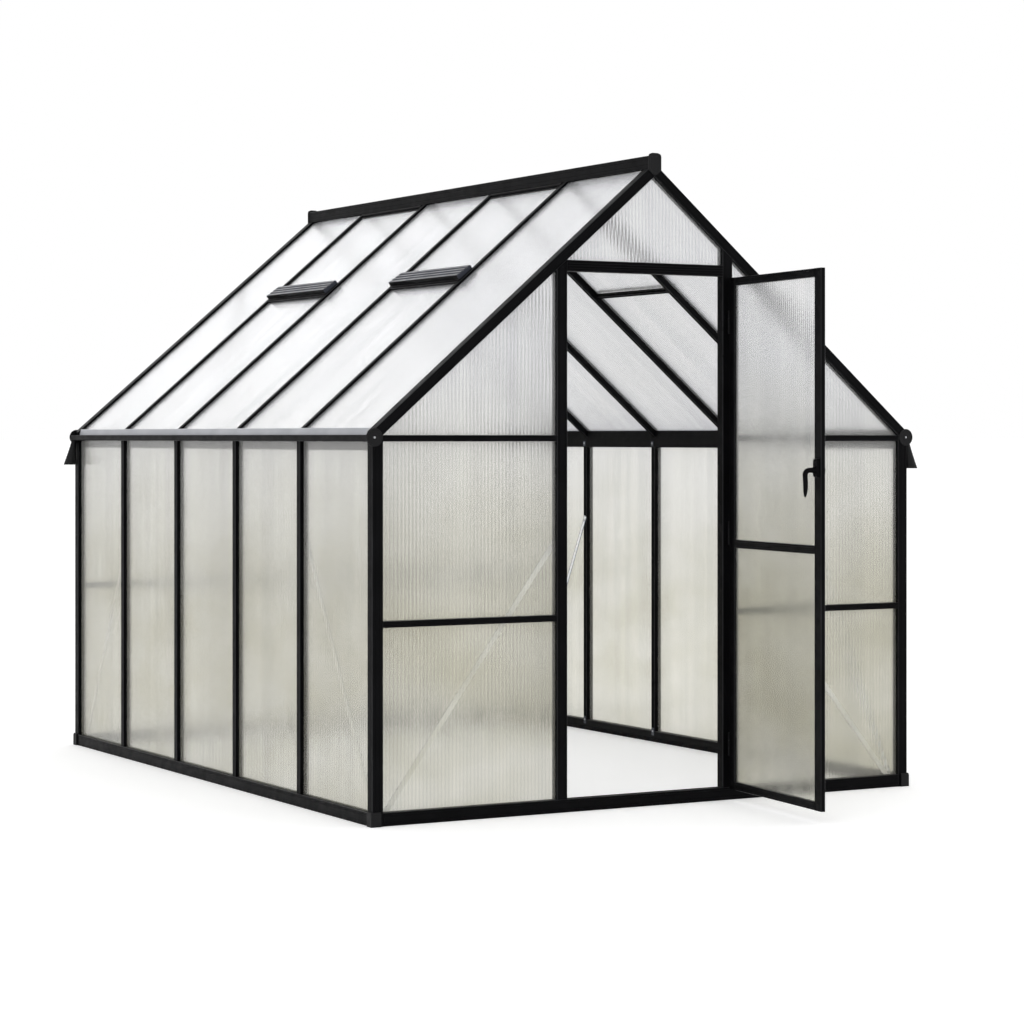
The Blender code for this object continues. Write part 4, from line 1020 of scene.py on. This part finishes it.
boss = turned([(0, 0), (0.0140, 0), (0.0140, 0.0045), (0.0118, 0.0075), (0, 0.0075)], 40)
knob = turned([(0, 0), (0.0150, 0), (0.0150, 0.0030), (0.0138, 0.0045), (0.0060, 0.0045), (0.0050, 0.0038),
               (0, 0.0038)], 40)
parts = [
    (lever(PLATE_OUT + 0.0002, 0.0410), STAY_PUT),
    (boss, facing((HANDLE_X, PLATE_OUT + 0.0002, HANDLE_Z), Y)),
    (knob, facing((HANDLE_X, -LEAF_THICK - 0.0033, HANDLE_Z), (0, -1, 0))),
]
piece("handle_lever", merged(parts), HANDLE, body="door_turn_handle", slot="plastic", nodes=["door_handle"],
      place=DOOR)

# ---- roof vents and stays, each in its vent's frame: X down the slope, Y along the house, Z outwards ----
def vent_bar(name, key, place, section, ends, a=X, along=Y, looks=(BLACK, EDGE_PAINTED_HIGHLIGHT), nodes=()):
    mesh = prism(section, ORIGIN, a, Z, along, ends)
    piece(f"{name}_{key}", mesh, looks, body=f"vent_{key}", slot="rib", nodes=nodes, place=place)


def lower_rail(rail_u, foot, high, ribbed):
    """Section of the lower rail; the wide one slopes a little and has three grooves."""
    width = VENT_LENGTH - rail_u
    tilt = 0.006 if ribbed else 0.0

    def top(u):
        return high - tilt * 0.6 + tilt * (u - rail_u) / width

    rail = [
        (rail_u, foot), (VENT_LENGTH - 0.004, foot), (VENT_LENGTH, foot + 0.003),
        (VENT_LENGTH, top(VENT_LENGTH) - 0.0025), (VENT_LENGTH - 0.002, top(VENT_LENGTH)),
    ]
    for rib in (3, 2, 1) if ribbed else ():
        u = rail_u + width * rib / 4
        for du, dn in ((0.0045, 0.0), (0.0035, -0.0032), (-0.0035, -0.0032), (-0.0045, 0.0)):
            rail.append((u + du, top(u + du) + dn))
    return rail + [(rail_u + 0.002, top(rail_u)), (rail_u, top(rail_u) - 0.002)]


def vent_frame(key, place, rail_u, high):
    """Lower rail with the web under it, two side bars, head bar, hinge knuckle, sheet and seal."""
    low, foot, side_top = VENT_LOW - VENT_N, VENT_RAIL_LOW - VENT_N, VENT_SIDE_TOP - VENT_N
    ribbed = VENT_LENGTH - rail_u > 0.05
    inside = VENT_HALF - VENT_SIDE - GAP
    rail = (lower_rail(rail_u, foot, high, ribbed), [1, 2, 3])
    vent_bar("vent_rail", key, place, rail, (-VENT_RAIL_HALF, VENT_RAIL_HALF),
             looks=(RIB if ribbed else BLACK, BLACK), nodes=[f"vent_{key}"])
    web = grooved(rail_u, low, VENT_LENGTH - 0.001, foot - 0.0002, (), 0.001)
    vent_bar("vent_web", key, place, web, (-VENT_HALF, VENT_HALF))
    for sign, name in ((-1, "near"), (1, "far")):
        a0, a1 = sorted((sign * VENT_HALF, sign * (VENT_HALF - VENT_SIDE)))
        section = grooved(a0, low, a1, side_top, [("b1", VENT_SIDE / 2, 0.002, 0.0008)], 0.0008)
        vent_bar(f"vent_side_{name}", key, place, section, (VENT_HEAD_U[0], rail_u - GAP), a=Y, along=X)
    head = grooved(VENT_HEAD_U[0], low, VENT_HEAD_U[1], side_top, [("b1", 0.005, 0.002, 0.0008)], 0.0008)
    vent_bar("vent_head", key, place, head, (-inside, inside))
    round_end = VENT_HALF - 0.001
    knuckle = turned([
        (0, -VENT_HALF), (0.0060, -VENT_HALF), (0.0070, -round_end),
        (0.0070, round_end), (0.0060, VENT_HALF), (0, VENT_HALF),
    ], 28)
    piece(f"vent_knuckle_{key}", knuckle, BLACK, body=f"vent_{key}", slot="rib", place=place @ ACROSS)
    pane = place @ Matrix.Translation((0, 0, VENT_PANE - VENT_N)) @ Matrix((Y, X, -Z)).transposed().to_4x4()
    fluted(f"vent_sheet_{key}", (-inside, inside), level(VENT_HEAD_U[1] + GAP), level(rail_u - GAP), pane,
           ROOF_SHEET, body=f"vent_{key}")
    seal = grooved(VENT_LENGTH - 0.009, low - 0.0007, VENT_LENGTH - 0.003, low - 0.0002, (), 0.0002)
    seal = flat_prism(seal, (-VENT_HALF + 0.004, VENT_HALF - 0.004))
    piece(f"vent_seal_{key}", seal, RUBBER, body=f"vent_{key}", slot="black", place=place)


def vent_lug(key, place, pin_u, pin_n):
    """Two ears under the lower rail with the pin that the stay hangs on."""
    ear = [(0.010, VENT_LOW - VENT_N + 0.001 - pin_n), (0.007, -0.004), (0.004, -0.007)]
    ear = [(pin_u - du, pin_n + dn) for du, dn in ear] + [(pin_u + du, pin_n + dn) for du, dn in ear[::-1]]
    pin = turned([
        (0, -0.0085), (0.0045, -0.0085), (0.0045, -0.0066), (0.0025, -0.0064),
        (0.0025, 0.0064), (0.0045, 0.0066), (0.0045, 0.0085), (0, 0.0085),
    ], 20)
    parts = [(flat_prism(ear, (y0, y0 + 0.004)), STAY_PUT) for y0 in (0.0023, -0.0063)]
    parts.append((pin, Matrix.Translation((pin_u, 0, pin_n)) @ ACROSS))
    piece(f"vent_lug_{key}", merged(parts), PLASTIC, body=f"vent_{key}", slot="black", place=place)


def stay(key, place):
    """Flat arm with round ends and five holes, hanging from its pin."""
    outline = []
    for step in range(18):
        turn = math.pi * (step if step < 9 else step - 1) / 8
        drop = 0.0 if step < 9 else STAY_ROUND - STAY_LENGTH
        outline.append((STAY_ROUND * math.cos(turn), STAY_ROUND * math.sin(turn) + drop))
    holes = []
    for depth in (0.0, 0.060, 0.105, 0.150, 0.195):
        hole = turned([(0, -0.01), (0.0028, -0.01), (0.0028, 0.01), (0, 0.01)], 20)
        hole.transform(Matrix.Translation((0, 0, -depth)) @ ACROSS)
        holes.append(hole)
    arm = carve(flat_prism(outline, (-0.0019, 0.0019)), holes)
    piece(f"stay_arm_{key}", arm, PALE_RIB, body=f"stay_{key}", slot="rib", nodes=[f"vent_stay_{key}"],
          place=place)


ACROSS = Matrix.Rotation(math.pi / 2, 4, "X")
for label, side in SIDES.items():
    for end, first in VENTS.items():
        key = f"{label}_{end}"
        middle = (STUD_Y[first - 1] + STUD_Y[first]) / 2
        turn = Matrix.Rotation(math.pi if side < 0 else 0.0, 4, "Z") @ Matrix.Rotation(THETA, 4, "Y")
        place = Matrix.Translation(slope_point(side, middle, VENT_U, VENT_N)) @ turn
        vent_frame(key, place, VENT_LENGTH - VENT_RAILS[label], VENT_TOPS[label] - VENT_N)
        if label == "left":
            pin_u, pin_n = STAY_U - VENT_U, STAY_N - VENT_N
            vent_lug(key, place, pin_u, pin_n)
            stay(key, place @ Matrix.Translation((pin_u, 0, pin_n)))

# ---- floor, light and camera ----
def floor_look():
    """Pale floor that lifts itself a little, so that it reads as one with the backdrop."""
    made, tree, shader = new_material("pale_floor")
    tone = ramp(tree, noise(tree, 0.7, 3.0), [(0.3, (0.91605,) * 3), (0.7, (0.93,) * 3)])
    link(tree, tone, "Color", shader, "Base Color")
    link(tree, tone, "Color", shader, "Emission Color")
    shader.inputs["Roughness"].default_value = 0.9
    shader.inputs["Specular IOR Level"].default_value = 0.1
    shader.inputs["Emission Strength"].default_value = 0.26
    return made


shape = bmesh.new()
bmesh.ops.create_grid(shape, x_segments=4, y_segments=4, size=900.0)
floor_mesh = to_mesh(shape)
floor_mesh.materials.append(floor_look())
floor = bpy.data.objects.new("floor", floor_mesh)
floor.location = (0, 0, -0.0005)
bpy.context.scene.collection.objects.link(floor)

world = bpy.data.worlds.new("studio")
bpy.context.scene.world = world
world.use_nodes = True
sky = world.node_tree
background = sky.nodes["Background"]
where = sky.nodes.new("ShaderNodeTexCoord")
split = sky.nodes.new("ShaderNodeSeparateXYZ")
link(sky, where, "Generated", split, "Vector")
rise = between(sky, split, "Z", -1.0, 1.0)
band = ramp(sky, rise, [(0.30, (0.80, 0.80, 0.81)), (0.95, (1.0, 1.0, 1.0))], "Result")
path = sky.nodes.new("ShaderNodeLightPath")
white = (1.0, 1.0, 1.0)
seen = tinted(sky, band.outputs["Color"], white, path.outputs["Is Camera Ray"], "MIX")
sky.links.new(seen, background.inputs["Color"])
background.inputs["Strength"].default_value = 1.0


def lamp(name, at, size, power, aim=(0, 1.5, 1.2)):
    light = bpy.data.lights.new(name, "AREA")
    light.shape = "RECTANGLE"
    light.size, light.size_y = size
    light.energy = power
    made = bpy.data.objects.new(name, light)
    made.location = at
    made.rotation_euler = (Vector(aim) - Vector(at)).to_track_quat("-Z", "Y").to_euler()
    bpy.context.scene.collection.objects.link(made)
    return made


lamp("key", (-6.0, -7.0, 7.0), (5.0, 5.0), 120.0)
lamp("fill", (7.0, -4.0, 5.0), (4.0, 4.0), 60.0)
lamp("back", (1.0, 9.0, 5.0), (6.0, 4.0), 60.0)

camera_data = bpy.data.cameras.new("camera")
camera_data.lens = 96.36
camera_data.sensor_width = 36.0
camera_data.shift_y = -0.0739
camera_data.clip_end = 2000.0
camera = bpy.data.objects.new("camera", camera_data)
camera.location = (-5.682, -9.011, 1.431)
camera.rotation_euler = (math.radians(90.0), 0.0, math.radians(-29.313))
bpy.context.scene.collection.objects.link(camera)
bpy.context.scene.camera = camera
bpy.context.scene.view_settings.view_transform = "Standard"
